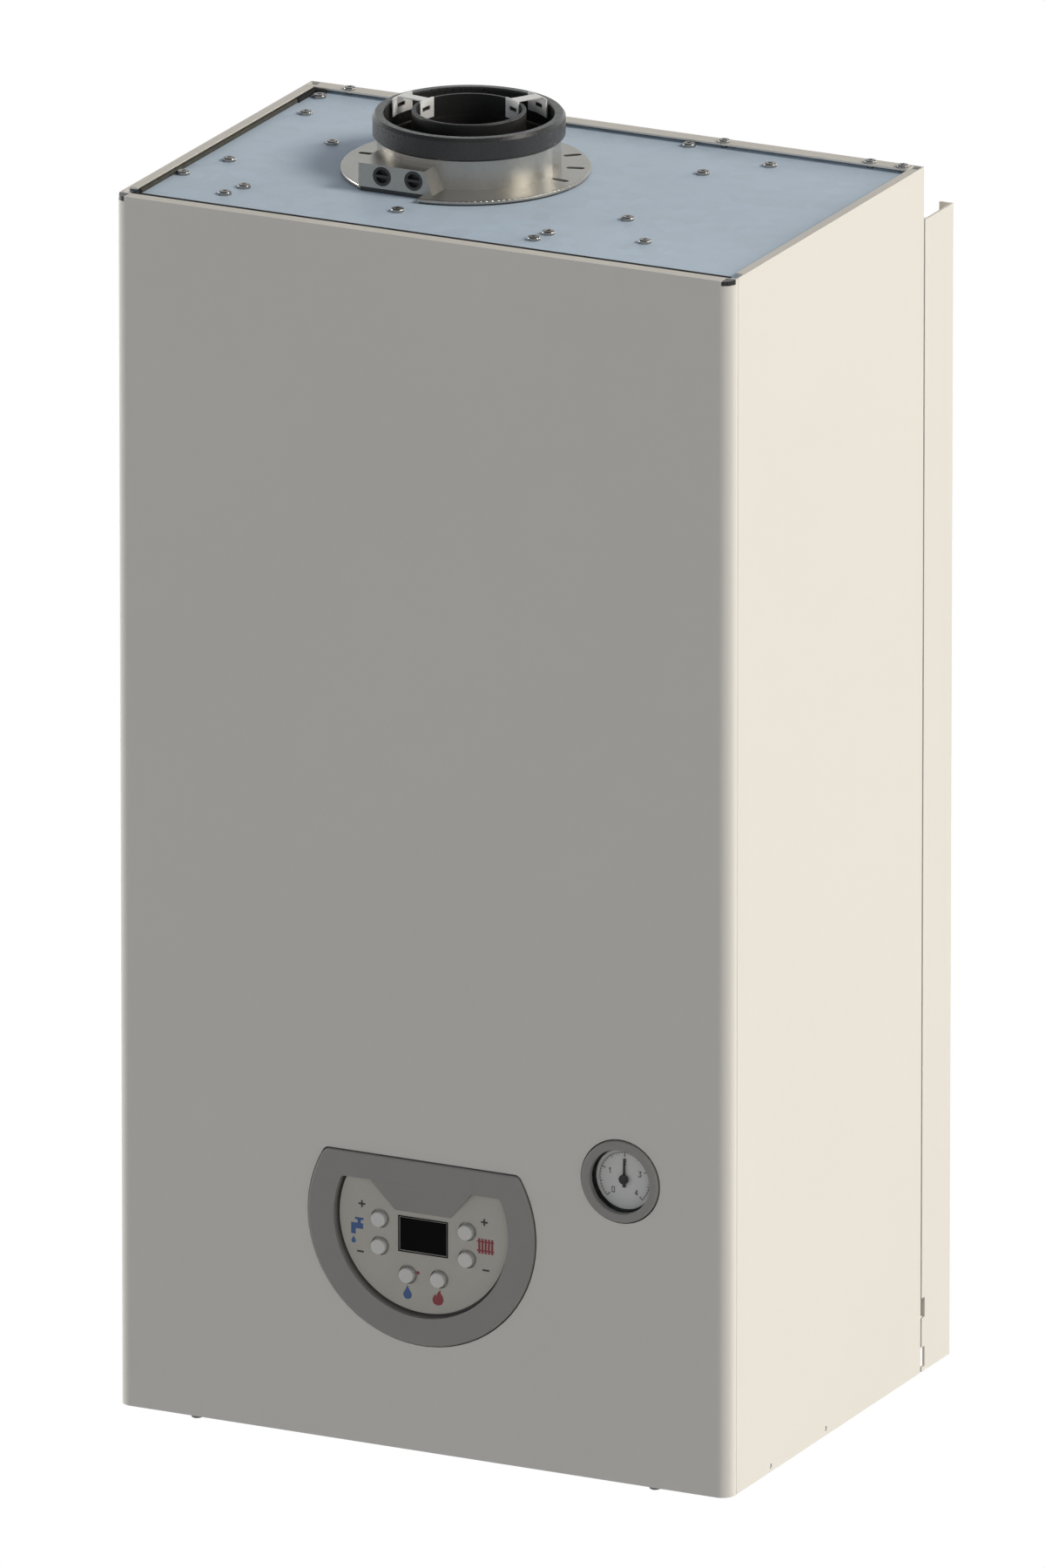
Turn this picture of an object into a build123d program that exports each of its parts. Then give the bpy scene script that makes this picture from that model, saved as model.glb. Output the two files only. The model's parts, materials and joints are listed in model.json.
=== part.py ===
from build123d import *
import math
import os

os.makedirs("parts", exist_ok=True)

# ------------------------------------------------------------------
# Wall-hung condensing combi boiler. Millimetres.
# +X is to the right, +Y goes into the wall, +Z is up. The origin lies on
# the wall plane, midway between the two wall-hanging holes.
# ------------------------------------------------------------------

# casing
WIDTH = 400.0          # outside width
HEIGHT = 744.0         # bottom edge to top flanges
FRONT_Y = -300.0       # outer face of the front panel
BACK_Y = -40.0         # back of the casing, front of the spacer frame
BOTTOM_Z = -688.0      # casing bottom edge below the hanging holes
SHEET = 1.0            # panel thickness
BEND_R = 8.0           # outer radius of the upright front bends
HOOK_DEPTH = 10.0      # depth of the front panel's side returns
TOP_RETURN = 8.0       # depth of the front panel's top and bottom returns
FLANGE = 9.0           # inward top flange of the rear panel
SIDE_FLANGE = 4.8      # inward top flange of the side panels
PLATE_H = 741.0        # top face of the galvanised top plate
PLATE_T = 1.2

# spacer frame
FRAME_TOP = 711.0
FRAME_FRONT = -38.2
FRAME_T = 1.5
HANG_SPACING = 320.0
HANG_R = 6.0

# flue outlet
FX, FY = -42.0, -151.4
FLANGE_R = 73.5
FOOT_Y = FY - 4.0        # the foot reaches a little further to the front
FOOT_LOW, FOOT_TOP = 742.2, 744.0   # stands on a narrower seat, so a gasket shows under its rim
SEAT_R = 71.0
NECK_R = 54.2
NECK_BORE = 49.0
RING_R = 56.6
RING_LOW, RING_TOP = 761.7, 775.7
SOCKET_R = 50.2        # takes the 100 mm air duct
PIPE_R = 32.0          # outside of the 60 mm flue socket
PIPE_BORE = 30.1
PIPE_TOP, MOUTH_H = 777.3, 764.5
CLIP_TOP = 778.1
CLIP_ANGLES = (58, 172)
BOSS_Y = FY - 68.6     # front of the boss with the two test ports
BOSS_LEFT, BOSS_RIGHT, BOSS_TOES = FX - 39.0, FX + 4.8, FX + 10.0
BOSS_TOP = 758.2
PORT_R = 5.95
PORT_X = (-23.0, -2.5)
PORT_H = 751.5
PLUG_R = 5.9

# control panel
D_X, D_H = 0.0, 140.0
BEZEL_R, BEZEL_TOP = 74.0, 179.0
INNER_R, INNER_TOP = 57.0, 164.0
PROUD_Y = -302.0       # front of the bezels
PLATE_Y = -298.5       # face of the recessed key plate
CUT_GAP = 0.8          # clearance of the front panel's cut-outs
KEY_R = 4.6
KEY_HOLE_R = 5.9
KEY_HOLE_SHIFT = 0.35  # the holes sit up and to the right of the keys
KEY_Y = -301.6
KEYS = {
    "button_water_up": (-28.5, 139.5),
    "button_water_down": (-28.5, 122.7),
    "button_heating_up": (28.5, 139.5),
    "button_heating_down": (28.5, 122.7),
    "button_mode": (-10.2, 107.5),
    "button_reset": (10.2, 107.5),
}
LCD_W, LCD_LOW, LCD_TOP = 30.0, 122.6, 142.4
GX, GH = 129.3, 185.6
GAUGE_R, GAUGE_OPEN = 25.0, 19.5

# control box
BOX_X = 184.0
BOX_FRONT, BOX_BACK = -290.0, -222.0
BOX_LOW, BOX_TOP = 42.0, 214.0
BOX_WALL = 2.5
HINGE_Y, HINGE_H = -280.0, 46.0
PIN_R = 3.0

# combustion side
HX, HH = -42.0, 520.0  # axis of the primary heat exchanger
DRUM_R = 92.0
FAN_X, FAN_H = 122.0, 470.0

# hydraulic side
TAIL_Y = -110.0
TAIL_END = -30.0
NUT_LOW, NUT_TOP = -4.0, 12.0
PUMP_X, PUMP_H = 128.0, 86.0
DIV_X, DIV_H = -130.0, 96.0


def z(h):
    """Height above the casing's bottom edge, as a Z coordinate."""
    return h + BOTTOM_Z


def level(h):
    """Horizontal plane at a height above the casing's bottom edge."""
    return Plane.XY.offset(z(h))


def facing(y):
    """Upright plane at Y = y that looks to the front; sketches use X and Z."""
    return Plane.XZ.offset(-y)


def across(x):
    """Upright plane at X = x that looks to the right; sketches use Y and Z."""
    return Plane.YZ.offset(x)


def span(lo, hi):
    """Centre and length of an interval."""
    return (lo + hi) / 2, hi - lo


# screws that show on top, as X, Y
BACK_SCREWS = [(-172.0, -46.0), (-70.0, -46.0), (73.0, -46.0), (168.0, -46.0), (189.0, -46.0)]
PLATE_SCREWS = [
    (-177.0, -94.0), (-175.0, -199.0), (-187.0, -235.0), (-143.0, -244.0),
    (-147.0, -261.0), (-41.0, -248.0), (58.0, -250.0), (55.5, -264.0),
    (-136.0, -142.0), (87.0, -204.0), (116.0, -241.0), (54.0, -54.0),
    (86.0, -101.5), (114.5, -70.0), (-185.0, -60.0),
]

# ------------------------------------------------------------------
# Casing
# ------------------------------------------------------------------

# front panel: one folded sheet, lifts off for service
with BuildPart() as front_panel:
    with BuildSketch(level(0)) as outer:
        with Locations((0, FRONT_Y + HOOK_DEPTH / 2)):
            Rectangle(WIDTH, HOOK_DEPTH)
        fillet(outer.vertices().sort_by(Axis.Y)[:2], radius=BEND_R)
    extrude(amount=HEIGHT)
    with BuildSketch(level(SHEET)) as hollow:
        with Locations((0, FRONT_Y + SHEET + 20)):
            Rectangle(WIDTH - 2 * SHEET, 40)
        fillet(hollow.vertices().sort_by(Axis.Y)[:2], radius=BEND_R - SHEET)
    extrude(amount=HEIGHT - 2 * SHEET, mode=Mode.SUBTRACT)
    # top and bottom returns end short of the side returns
    with BuildSketch(level(0)):
        with Locations((0, FRONT_Y + TOP_RETURN + 5)):
            Rectangle(WIDTH - 2 * SHEET, 10)
    extrude(amount=HEIGHT, mode=Mode.SUBTRACT)
    # notches at the top of the two bends
    with BuildSketch(level(HEIGHT - 3)):
        with Locations((-197.5, FRONT_Y + 3), (197.5, FRONT_Y + 3)):
            Rectangle(8, 8)
    extrude(amount=4, mode=Mode.SUBTRACT)
    # cut-out for the control panel
    with BuildSketch(facing(FRONT_Y + 5)) as cut:
        with Locations((D_X, z(D_H))):
            Circle(BEZEL_R + CUT_GAP)
        with Locations((D_X, z(BEZEL_TOP + CUT_GAP) - 100)):
            Rectangle(300, 200, mode=Mode.INTERSECT)
        fillet(cut.vertices(), radius=5.0)
    extrude(amount=10, mode=Mode.SUBTRACT)
    # cut-out for the gauge
    with BuildSketch(facing(FRONT_Y + 5)):
        with Locations((GX, z(GH))):
            Circle(GAUGE_R + CUT_GAP)
    extrude(amount=10, mode=Mode.SUBTRACT)
    # holes for the two screws in the bottom return
    with BuildSketch(level(-1)):
        with Locations((-150, FRONT_Y + 4.5), (150, FRONT_Y + 4.5)):
            Circle(2.0)
    extrude(amount=4, mode=Mode.SUBTRACT)
front_panel.part.label = "front_panel"
export_step(front_panel.part, "parts/front_panel.step")

# right side panel
SIDE_FRONT = FRONT_Y + HOOK_DEPTH + 0.4
with BuildPart() as right_side_panel:
    with BuildSketch(across(WIDTH / 2 - SHEET)):
        c, l = span(SIDE_FRONT, BACK_Y)
        with Locations((c, z(HEIGHT / 2))):
            Rectangle(l, HEIGHT)
        # notches and holes low on the panel
        with Locations((-243.5, z(3.5)), (-169.0, z(4.3))):
            Circle(1.6, mode=Mode.SUBTRACT)
    extrude(amount=SHEET)
    # top flange
    with BuildSketch(level(HEIGHT - SHEET)):
        c, l = span(-281, -47)
        with Locations((WIDTH / 2 - SHEET - SIDE_FLANGE / 2, c)):
            Rectangle(SIDE_FLANGE, l)
    extrude(amount=SHEET)
    # bottom flange
    with BuildSketch(level(8)):
        c, l = span(-284, -47)
        with Locations((WIDTH / 2 - SHEET - 6, c)):
            Rectangle(12, l)
    extrude(amount=SHEET)
    # front flange behind the front panel
    with BuildSketch(facing(SIDE_FRONT + SHEET)):
        with Locations((WIDTH / 2 - SHEET - 6, z(HEIGHT / 2))):
            Rectangle(12, HEIGHT - 30)
    extrude(amount=SHEET)
right_side_panel.part.label = "right_side_panel"
export_step(right_side_panel.part, "parts/right_side_panel.step")

# left side panel
with BuildPart() as left_side_panel:
    with BuildSketch(across(-WIDTH / 2)):
        c, l = span(SIDE_FRONT, BACK_Y)
        with Locations((c, z(HEIGHT / 2))):
            Rectangle(l, HEIGHT)
        with Locations((-243.5, z(3.5)), (-169.0, z(4.3))):
            Circle(1.6, mode=Mode.SUBTRACT)
    extrude(amount=SHEET)
    with BuildSketch(level(HEIGHT - SHEET)):
        c, l = span(-281, -47)
        with Locations((-WIDTH / 2 + SHEET + SIDE_FLANGE / 2, c)):
            Rectangle(SIDE_FLANGE, l)
    extrude(amount=SHEET)
    with BuildSketch(level(8)):
        c, l = span(-284, -47)
        with Locations((-WIDTH / 2 + SHEET + 6, c)):
            Rectangle(12, l)
    extrude(amount=SHEET)
    with BuildSketch(facing(SIDE_FRONT + SHEET)):
        with Locations((-WIDTH / 2 + SHEET + 6, z(HEIGHT / 2))):
            Rectangle(12, HEIGHT - 30)
    extrude(amount=SHEET)
left_side_panel.part.label = "left_side_panel"
export_step(left_side_panel.part, "parts/left_side_panel.step")

# rear panel with a top flange that carries four screws
with BuildPart() as rear_panel:
    with BuildSketch(facing(BACK_Y)):
        with Locations((0, z(HEIGHT / 2))):
            Rectangle(WIDTH - 2 * SHEET - 0.4, HEIGHT)
    extrude(amount=SHEET)
    with BuildSketch(level(HEIGHT - SHEET)):
        c, l = span(BACK_Y - SHEET - FLANGE, BACK_Y - SHEET)
        with Locations((0, c)):
            Rectangle(387.6, l)
        with Locations(*BACK_SCREWS):
            Circle(1.9, mode=Mode.SUBTRACT)
    extrude(amount=SHEET)
rear_panel.part.label = "rear_panel"
export_step(rear_panel.part, "parts/rear_panel.step")

# galvanised top plate of the sealed chamber
with BuildPart() as top_plate:
    with BuildSketch(level(PLATE_H - PLATE_T)):
        c, l = span(-286.4, BACK_Y - SHEET - 0.2)
        with Locations((0, c)):
            Rectangle(397.6, l)
        with Locations((FX, FY)):
            Circle(NECK_BORE + 0.5, mode=Mode.SUBTRACT)
        with Locations(*PLATE_SCREWS):
            Circle(1.9, mode=Mode.SUBTRACT)
        with Locations(*BACK_SCREWS):
            Circle(2.2, mode=Mode.SUBTRACT)
    extrude(amount=PLATE_T)
    # stiffening fold along the front
    with BuildSketch(facing(-285.2)):
        with Locations((0, z(PLATE_H - PLATE_T - 10))):
            Rectangle(370, 20)
    extrude(amount=PLATE_T)
top_plate.part.label = "top_plate"
export_step(top_plate.part, "parts/top_plate.step")

# bottom plate with clearance holes for the pipes and the filling tap
with BuildPart() as bottom_plate:
    with BuildSketch(level(14)):
        c, l = span(-286, BACK_Y - SHEET - 0.2)
        with Locations((0, c)):
            Rectangle(397.6, l)
        with Locations((-130, TAIL_Y), (-65, TAIL_Y), (0, TAIL_Y), (65, TAIL_Y), (130, TAIL_Y)):
            Circle(15, mode=Mode.SUBTRACT)
        with Locations((-175, -188)):
            Circle(13, mode=Mode.SUBTRACT)
        with Locations((95, -150)):
            Circle(8, mode=Mode.SUBTRACT)
    extrude(amount=PLATE_T)
bottom_plate.part.label = "bottom_plate"
export_step(bottom_plate.part, "parts/bottom_plate.step")

# screws of the rear flange
with BuildPart() as casing_screws:
    with BuildSketch(level(HEIGHT)):
        with Locations(*BACK_SCREWS):
            Circle(3.6)
    extrude(amount=1.6)
    fillet(casing_screws.edges().group_by(Axis.Z)[-1], radius=0.8)
    with BuildSketch(level(HEIGHT)):
        with Locations(*BACK_SCREWS):
            Circle(1.6)
    extrude(amount=-4.5)
    with BuildSketch(level(HEIGHT + 0.8)):
        with Locations(*BACK_SCREWS):
            RectangleRounded(3.6, 0.9, 0.4)
            RectangleRounded(0.9, 3.6, 0.4)
    extrude(amount=2, mode=Mode.SUBTRACT)
casing_screws.part.label = "casing_screws"
export_step(casing_screws.part, "parts/casing_screws.step")

# screws of the top plate
with BuildPart() as top_plate_screws:
    with BuildSketch(level(PLATE_H)):
        with Locations(*PLATE_SCREWS):
            Circle(3.9)
    extrude(amount=2.3)
    fillet(top_plate_screws.edges().group_by(Axis.Z)[-1], radius=1.1)
    with BuildSketch(level(PLATE_H)):
        with Locations(*PLATE_SCREWS):
            Circle(1.6)
    extrude(amount=-6)
    with BuildSketch(level(PLATE_H + 1.3)):
        with Locations(*PLATE_SCREWS):
            RectangleRounded(3.6, 0.9, 0.4)
            RectangleRounded(0.9, 3.6, 0.4)
    extrude(amount=2, mode=Mode.SUBTRACT)
top_plate_screws.part.label = "top_plate_screws"
export_step(top_plate_screws.part, "parts/top_plate_screws.step")

# ------------------------------------------------------------------
# Spacer frame behind the casing
# ------------------------------------------------------------------

with BuildPart() as frame_right_channel:
    with BuildSketch(level(0)):
        c, l = span(FRAME_FRONT, 0)
        with Locations((WIDTH / 2 - FRAME_T / 2, c)):
            Rectangle(FRAME_T, l)
        with Locations((WIDTH / 2 - 13, FRAME_FRONT + FRAME_T / 2)):
            Rectangle(26, FRAME_T)
        with Locations((WIDTH / 2 - 4.25, -FRAME_T / 2)):
            Rectangle(8.5, FRAME_T)
    extrude(amount=FRAME_TOP)
    # slots in the outer wall along the seam
    with BuildSketch(across(WIDTH / 2 - 5)):
        with Locations((FRAME_FRONT + 1.0, z(9.0)), (FRAME_FRONT + 1.0, z(39.5))):
            Rectangle(6.0, 12.5)
    extrude(amount=10, mode=Mode.SUBTRACT)
frame_right_channel.part.label = "frame_right_channel"
export_step(frame_right_channel.part, "parts/frame_right_channel.step")

with BuildPart() as frame_left_channel:
    with BuildSketch(level(0)):
        c, l = span(FRAME_FRONT, 0)
        with Locations((-WIDTH / 2 + FRAME_T / 2, c)):
            Rectangle(FRAME_T, l)
        with Locations((-WIDTH / 2 + 13, FRAME_FRONT + FRAME_T / 2)):
            Rectangle(26, FRAME_T)
        with Locations((-WIDTH / 2 + 4.25, -FRAME_T / 2)):
            Rectangle(8.5, FRAME_T)
    extrude(amount=FRAME_TOP)
    with BuildSketch(across(-WIDTH / 2 - 5)):
        with Locations((FRAME_FRONT + 1.0, z(9.0)), (FRAME_FRONT + 1.0, z(39.5))):
            Rectangle(6.0, 12.5)
    extrude(amount=10, mode=Mode.SUBTRACT)
frame_left_channel.part.label = "frame_left_channel"
export_step(frame_left_channel.part, "parts/frame_left_channel.step")

# hanging rail: wall plate with the two hanging holes, and a shelf to the casing
with BuildPart() as hanger_rail:
    with BuildSketch(facing(0)):
        c, l = span(664, 707)
        with Locations((0, z(c))):
            Rectangle(360, l)
        with Locations((-HANG_SPACING / 2, 0), (HANG_SPACING / 2, 0)):
            Circle(HANG_R, mode=Mode.SUBTRACT)
    extrude(amount=2)
    # end tabs behind the flanges of the two channels
    with BuildSketch(facing(-1.5)):
        with Locations((-188.5, z(682)), (188.5, z(682))):
            Rectangle(20, 36)
    extrude(amount=2)
    with BuildSketch(level(705)):
        c, l = span(BACK_Y, 0)
        with Locations((0, c)):
            Rectangle(346, l)
    extrude(amount=2)
    with BuildSketch(facing(BACK_Y + 2)):
        c, l = span(680, 707)
        with Locations((0, z(c))):
            Rectangle(346, l)
    extrude(amount=2)
hanger_rail.part.label = "hanger_rail"
export_step(hanger_rail.part, "parts/hanger_rail.step")

with BuildPart() as frame_bottom_rail:
    with BuildSketch(facing(0)):
        c, l = span(20, 62)
        with Locations((0, z(c))):
            Rectangle(360, l)
        with Locations((-120, z(41)), (120, z(41))):
            Circle(4.5, mode=Mode.SUBTRACT)
    extrude(amount=2)
    with BuildSketch(facing(-1.5)):
        with Locations((-188.5, z(40)), (188.5, z(40))):
            Rectangle(20, 36)
    extrude(amount=2)
    with BuildSketch(level(60)):
        c, l = span(BACK_Y, 0)
        with Locations((0, c)):
            Rectangle(346, l)
    extrude(amount=2)
    with BuildSketch(facing(BACK_Y + 2)):
        c, l = span(40, 62)
        with Locations((0, z(c))):
            Rectangle(346, l)
    extrude(amount=2)
frame_bottom_rail.part.label = "frame_bottom_rail"
export_step(frame_bottom_rail.part, "parts/frame_bottom_rail.step")

# ------------------------------------------------------------------
# Flue outlet on the top plate
# ------------------------------------------------------------------

with BuildPart() as flue_collar:
    # seat on the top plate, inset from the rim of the round foot
    with BuildSketch(level(PLATE_H)):
        with Locations((FX, FOOT_Y)):
            Circle(SEAT_R)
    extrude(amount=FOOT_LOW - PLATE_H)
    with BuildSketch(level(FOOT_LOW)):
        with Locations((FX, FOOT_Y)):
            Circle(FLANGE_R)
    extrude(amount=FOOT_TOP - FOOT_LOW)
    fillet(flue_collar.edges().filter_by(GeomType.CIRCLE).group_by(Axis.Z)[-1], radius=0.7)
    # three slots on each side, and a relief in the foot under the boss
    with BuildSketch(level(PLATE_H)):
        with Locations((FX, FY)):
            with PolarLocations(63.0, 3, start_angle=-6, angular_range=72):
                SlotOverall(11, 4.0)
            with PolarLocations(63.0, 3, start_angle=139, angular_range=72):
                SlotOverall(11, 4.0)
        c, l = span(BOSS_LEFT + 1, BOSS_RIGHT - 0.6)
        with Locations((c, FY - 85.5)):
            Rectangle(l, 40)
    extrude(amount=FOOT_TOP - PLATE_H, mode=Mode.SUBTRACT)
    # neck and duct socket
    with BuildSketch(level(FOOT_TOP)):
        with Locations((FX, FY)):
            Circle(NECK_R)
    extrude(amount=RING_LOW - FOOT_TOP)
    with BuildSketch(level(757)):
        with Locations((FX, FY)):
            Circle(SOCKET_R + 2.2)
    extrude(amount=772.5 - 757)
    # boss with the two flue-gas test ports, its right flank slopes down to the foot
    with BuildSketch(facing(FY - 30)):
        with BuildLine():
            Polyline((BOSS_LEFT, z(FOOT_TOP)), (BOSS_TOES, z(FOOT_TOP)), (BOSS_RIGHT, z(BOSS_TOP)),
                     (BOSS_LEFT, z(BOSS_TOP)), close=True)
        make_face()
    extrude(amount=FY - 30 - BOSS_Y)
    # bores: neck, duct socket and ports
    with BuildSketch(level(PLATE_H - 1)):
        with Locations((FX, FY)):
            Circle(NECK_BORE)
    extrude(amount=60, mode=Mode.SUBTRACT)
    with BuildSketch(level(758.5)):
        with Locations((FX, FY)):
            Circle(SOCKET_R + 1.0)
    extrude(amount=30, mode=Mode.SUBTRACT)
    with BuildSketch(facing(FY - 40)):
        with Locations((FX + PORT_X[0], z(PORT_H)), (FX + PORT_X[1], z(PORT_H))):
            Circle(PORT_R)
    extrude(amount=50, mode=Mode.SUBTRACT)
    fillet(flue_collar.edges().filter_by(Axis.Z).filter_by(
        lambda e: abs(e.center().Y - BOSS_Y) < 0.01 and e.center().Z > z(FOOT_TOP)), radius=1.5)
flue_collar.part.label = "flue_collar"
export_step(flue_collar.part, "parts/flue_collar.step")

# black seal that wraps the socket wall, inside and outside
with BuildPart() as flue_seal_ring:
    with BuildSketch(Plane.XZ):
        with BuildLine():
            Polyline(
                (SOCKET_R + 2.3, z(RING_LOW)), (RING_R - 1.2, z(RING_LOW)), (RING_R, z(RING_LOW + 1.2)),
                (RING_R, z(RING_TOP - 2.0)), (RING_R - 1.6, z(RING_TOP)), (SOCKET_R + 0.8, z(RING_TOP)),
                (SOCKET_R, z(RING_TOP - 0.8)), (SOCKET_R, z(759.2)), (SOCKET_R + 0.9, z(759.2)),
                (SOCKET_R + 0.9, z(772.8)), (SOCKET_R + 2.3, z(772.8)),
                close=True)
        make_face()
    revolve(axis=Axis.Z)
flue_seal_ring.part = flue_seal_ring.part.moved(Location((FX, FY, 0)))
flue_seal_ring.part.label = "flue_seal_ring"
export_step(flue_seal_ring.part, "parts/flue_seal_ring.step")

# 60 mm flue socket that runs down to the heat exchanger, with a wider mouth
with BuildPart() as flue_inner_socket:
    with BuildSketch(level(622)):
        with Locations((FX, FY)):
            Circle(PIPE_R)
    extrude(amount=PIPE_TOP - 622)
    with BuildSketch(level(MOUTH_H - 3.5)):
        with Locations((FX, FY)):
            Circle(PIPE_R + 1.6)
    extrude(amount=PIPE_TOP - MOUTH_H + 3.5)
    fillet(flue_inner_socket.edges().group_by(Axis.Z)[-1], radius=0.7)
    with BuildSketch(level(621)):
        with Locations((FX, FY)):
            Circle(PIPE_BORE)
    extrude(amount=200, mode=Mode.SUBTRACT)
    with BuildSketch(level(MOUTH_H)):
        with Locations((FX, FY)):
            Circle(PIPE_BORE + 1.2)
    extrude(amount=50, mode=Mode.SUBTRACT)
flue_inner_socket.part.label = "flue_inner_socket"
export_step(flue_inner_socket.part, "parts/flue_inner_socket.step")


def around(radius):
    """Places on a circle about the flue axis, turned to face outwards, one for each clip."""
    return [Location((FX + radius * math.cos(math.radians(a)), FY + radius * math.sin(math.radians(a)), 0),
                     (0, 0, a)) for a in CLIP_ANGLES]


# a pair of spring clips that hook over the inner pipe and centre the duct
with BuildPart() as centring_clips:
    # curved legs inside the duct
    with BuildSketch(level(767)):
        with Locations(*around(47)):
            Rectangle(16, 20)
        with Locations((FX, FY)):
            Circle(48.7, mode=Mode.INTERSECT)
            Circle(47.9, mode=Mode.SUBTRACT)
    extrude(amount=CLIP_TOP - 767)
    # curved legs inside the mouth of the pipe
    with BuildSketch(level(766)):
        with Locations(*around(31)):
            Rectangle(8, 14)
        with Locations((FX, FY)):
            Circle(31.15, mode=Mode.INTERSECT)
            Circle(30.35, mode=Mode.SUBTRACT)
    extrude(amount=CLIP_TOP - 766)
    # windows in the legs
    with BuildSketch(level(771)):
        with Locations(*around(40)):
            Rectangle(24, 8)
    extrude(amount=2.6, mode=Mode.SUBTRACT)
    # bridges over the rim
    with BuildSketch(level(PIPE_TOP)):
        with Locations(*around(39.7)):
            Rectangle(17.2, 7)
    extrude(amount=CLIP_TOP - PIPE_TOP)
centring_clips.part.label = "centring_clips"
export_step(centring_clips.part, "parts/centring_clips.step")

# pull-out plugs of the two test ports
with BuildPart() as test_plug_left:
    with BuildSketch(facing(BOSS_Y + 14)):
        with Locations((FX + PORT_X[0], z(PORT_H))):
            Circle(PLUG_R)
    extrude(amount=14)
    with BuildSketch(facing(BOSS_Y + 4)):
        with Locations((FX + PORT_X[0], z(PORT_H))):
            Circle(4.1)
            Rectangle(9, 1.6, mode=Mode.SUBTRACT)
    extrude(amount=10, mode=Mode.SUBTRACT)
test_plug_left.part.label = "test_plug_left"
export_step(test_plug_left.part, "parts/test_plug_left.step")

with BuildPart() as test_plug_right:
    with BuildSketch(facing(BOSS_Y + 14)):
        with Locations((FX + PORT_X[1], z(PORT_H))):
            Circle(PLUG_R)
    extrude(amount=14)
    with BuildSketch(facing(BOSS_Y + 4)):
        with Locations((FX + PORT_X[1], z(PORT_H))):
            Circle(4.1)
            Rectangle(9, 1.6, mode=Mode.SUBTRACT)
    extrude(amount=10, mode=Mode.SUBTRACT)
test_plug_right.part.label = "test_plug_right"
export_step(test_plug_right.part, "parts/test_plug_right.step")

# ------------------------------------------------------------------
# Control box: hinges down at its lower edge once the front panel is off
# ------------------------------------------------------------------

with BuildPart() as control_box:
    with BuildSketch(facing(BOX_BACK)):
        c, l = span(BOX_LOW, BOX_TOP)
        with Locations((0, z(c))):
            RectangleRounded(2 * BOX_X, l, 4)
    extrude(amount=BOX_BACK - BOX_FRONT)
    with BuildSketch(facing(BOX_BACK + 1)):
        c, l = span(BOX_LOW + BOX_WALL, BOX_TOP - BOX_WALL)
        with Locations((0, z(c))):
            Rectangle(2 * (BOX_X - BOX_WALL), l)
    extrude(amount=BOX_BACK - BOX_FRONT + 1 - BOX_WALL, mode=Mode.SUBTRACT)
    # pivot bosses and their bores at the lower corners
    with BuildSketch(across(-BOX_X)):
        with Locations((HINGE_Y, z(HINGE_H + 1))):
            Rectangle(14, 10)
    extrude(amount=8)
    with BuildSketch(across(BOX_X - 8)):
        with Locations((HINGE_Y, z(HINGE_H + 1))):
            Rectangle(14, 10)
    extrude(amount=8)
    with BuildSketch(across(-BOX_X - 1)):
        with Locations((HINGE_Y, z(HINGE_H))):
            Circle(PIN_R + 0.05)
    extrude(amount=2 * BOX_X + 2, mode=Mode.SUBTRACT)
    # posts for the circuit board
    with BuildSketch(facing(BOX_FRONT + BOX_WALL)):
        with Locations((-150, z(70)), (-150, z(190)), (90, z(70)), (90, z(190))):
            Circle(4)
    extrude(amount=-6)
control_box.part.label = "control_box"
export_step(control_box.part, "parts/control_box.step")

with BuildPart() as control_box_cover:
    with BuildSketch(facing(BOX_BACK + 2)):
        c, l = span(BOX_LOW, BOX_TOP)
        with Locations((0, z(c))):
            RectangleRounded(2 * BOX_X, l, 4)
    extrude(amount=2)
    # rim that drops inside the box
    with BuildSketch(facing(BOX_BACK)):
        c, l = span(BOX_LOW + 12, BOX_TOP - BOX_WALL - 0.4)
        with Locations((0, z(c))):
            Rectangle(2 * (BOX_X - BOX_WALL) - 0.8, l)
            Rectangle(2 * (BOX_X - BOX_WALL) - 4.8, l - 4, mode=Mode.SUBTRACT)
    extrude(amount=5)
control_box_cover.part.label = "control_box_cover"
export_step(control_box_cover.part, "parts/control_box_cover.step")

# circuit board with its taller components
BOARD_Y = BOX_FRONT + BOX_WALL + 6
with BuildPart() as control_board:
    with BuildSketch(facing(BOARD_Y + 1.6)):
        with Locations((-30, z(130))):
            Rectangle(270, 140)
    extrude(amount=1.6)
    with BuildSketch(facing(BOARD_Y + 1.6)):
        with Locations((-120, z(165))):
            Rectangle(45, 38)
        with Locations((-60, z(170)), (-35, z(170)), (-10, z(170)), (15, z(170))):
            Rectangle(16, 20)
        with Locations((60, z(160))):
            Rectangle(50, 24)
        with Locations((-120, z(90)), (-60, z(78)), (0, z(78)), (60, z(78))):
            Rectangle(40, 10)
    extrude(amount=-18)
control_board.part.label = "control_board"
export_step(control_board.part, "parts/control_board.step")

# pivot pins fixed to the side panels
with BuildPart() as hinge_pins:
    with BuildSketch(across(-BOX_X + 6)):
        with Locations((HINGE_Y, z(HINGE_H))):
            Circle(PIN_R)
    extrude(amount=-(WIDTH / 2 - SHEET - BOX_X + 6))
    with BuildSketch(across(-WIDTH / 2 + SHEET)):
        with Locations((HINGE_Y, z(HINGE_H))):
            Circle(5.5)
    extrude(amount=12)
    with BuildSketch(across(BOX_X - 6)):
        with Locations((HINGE_Y, z(HINGE_H))):
            Circle(PIN_R)
    extrude(amount=WIDTH / 2 - SHEET - BOX_X + 6)
    with BuildSketch(across(WIDTH / 2 - SHEET)):
        with Locations((HINGE_Y, z(HINGE_H))):
            Circle(5.5)
    extrude(amount=-12)
hinge_pins.part.label = "hinge_pins"
export_step(hinge_pins.part, "parts/hinge_pins.step")

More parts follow.
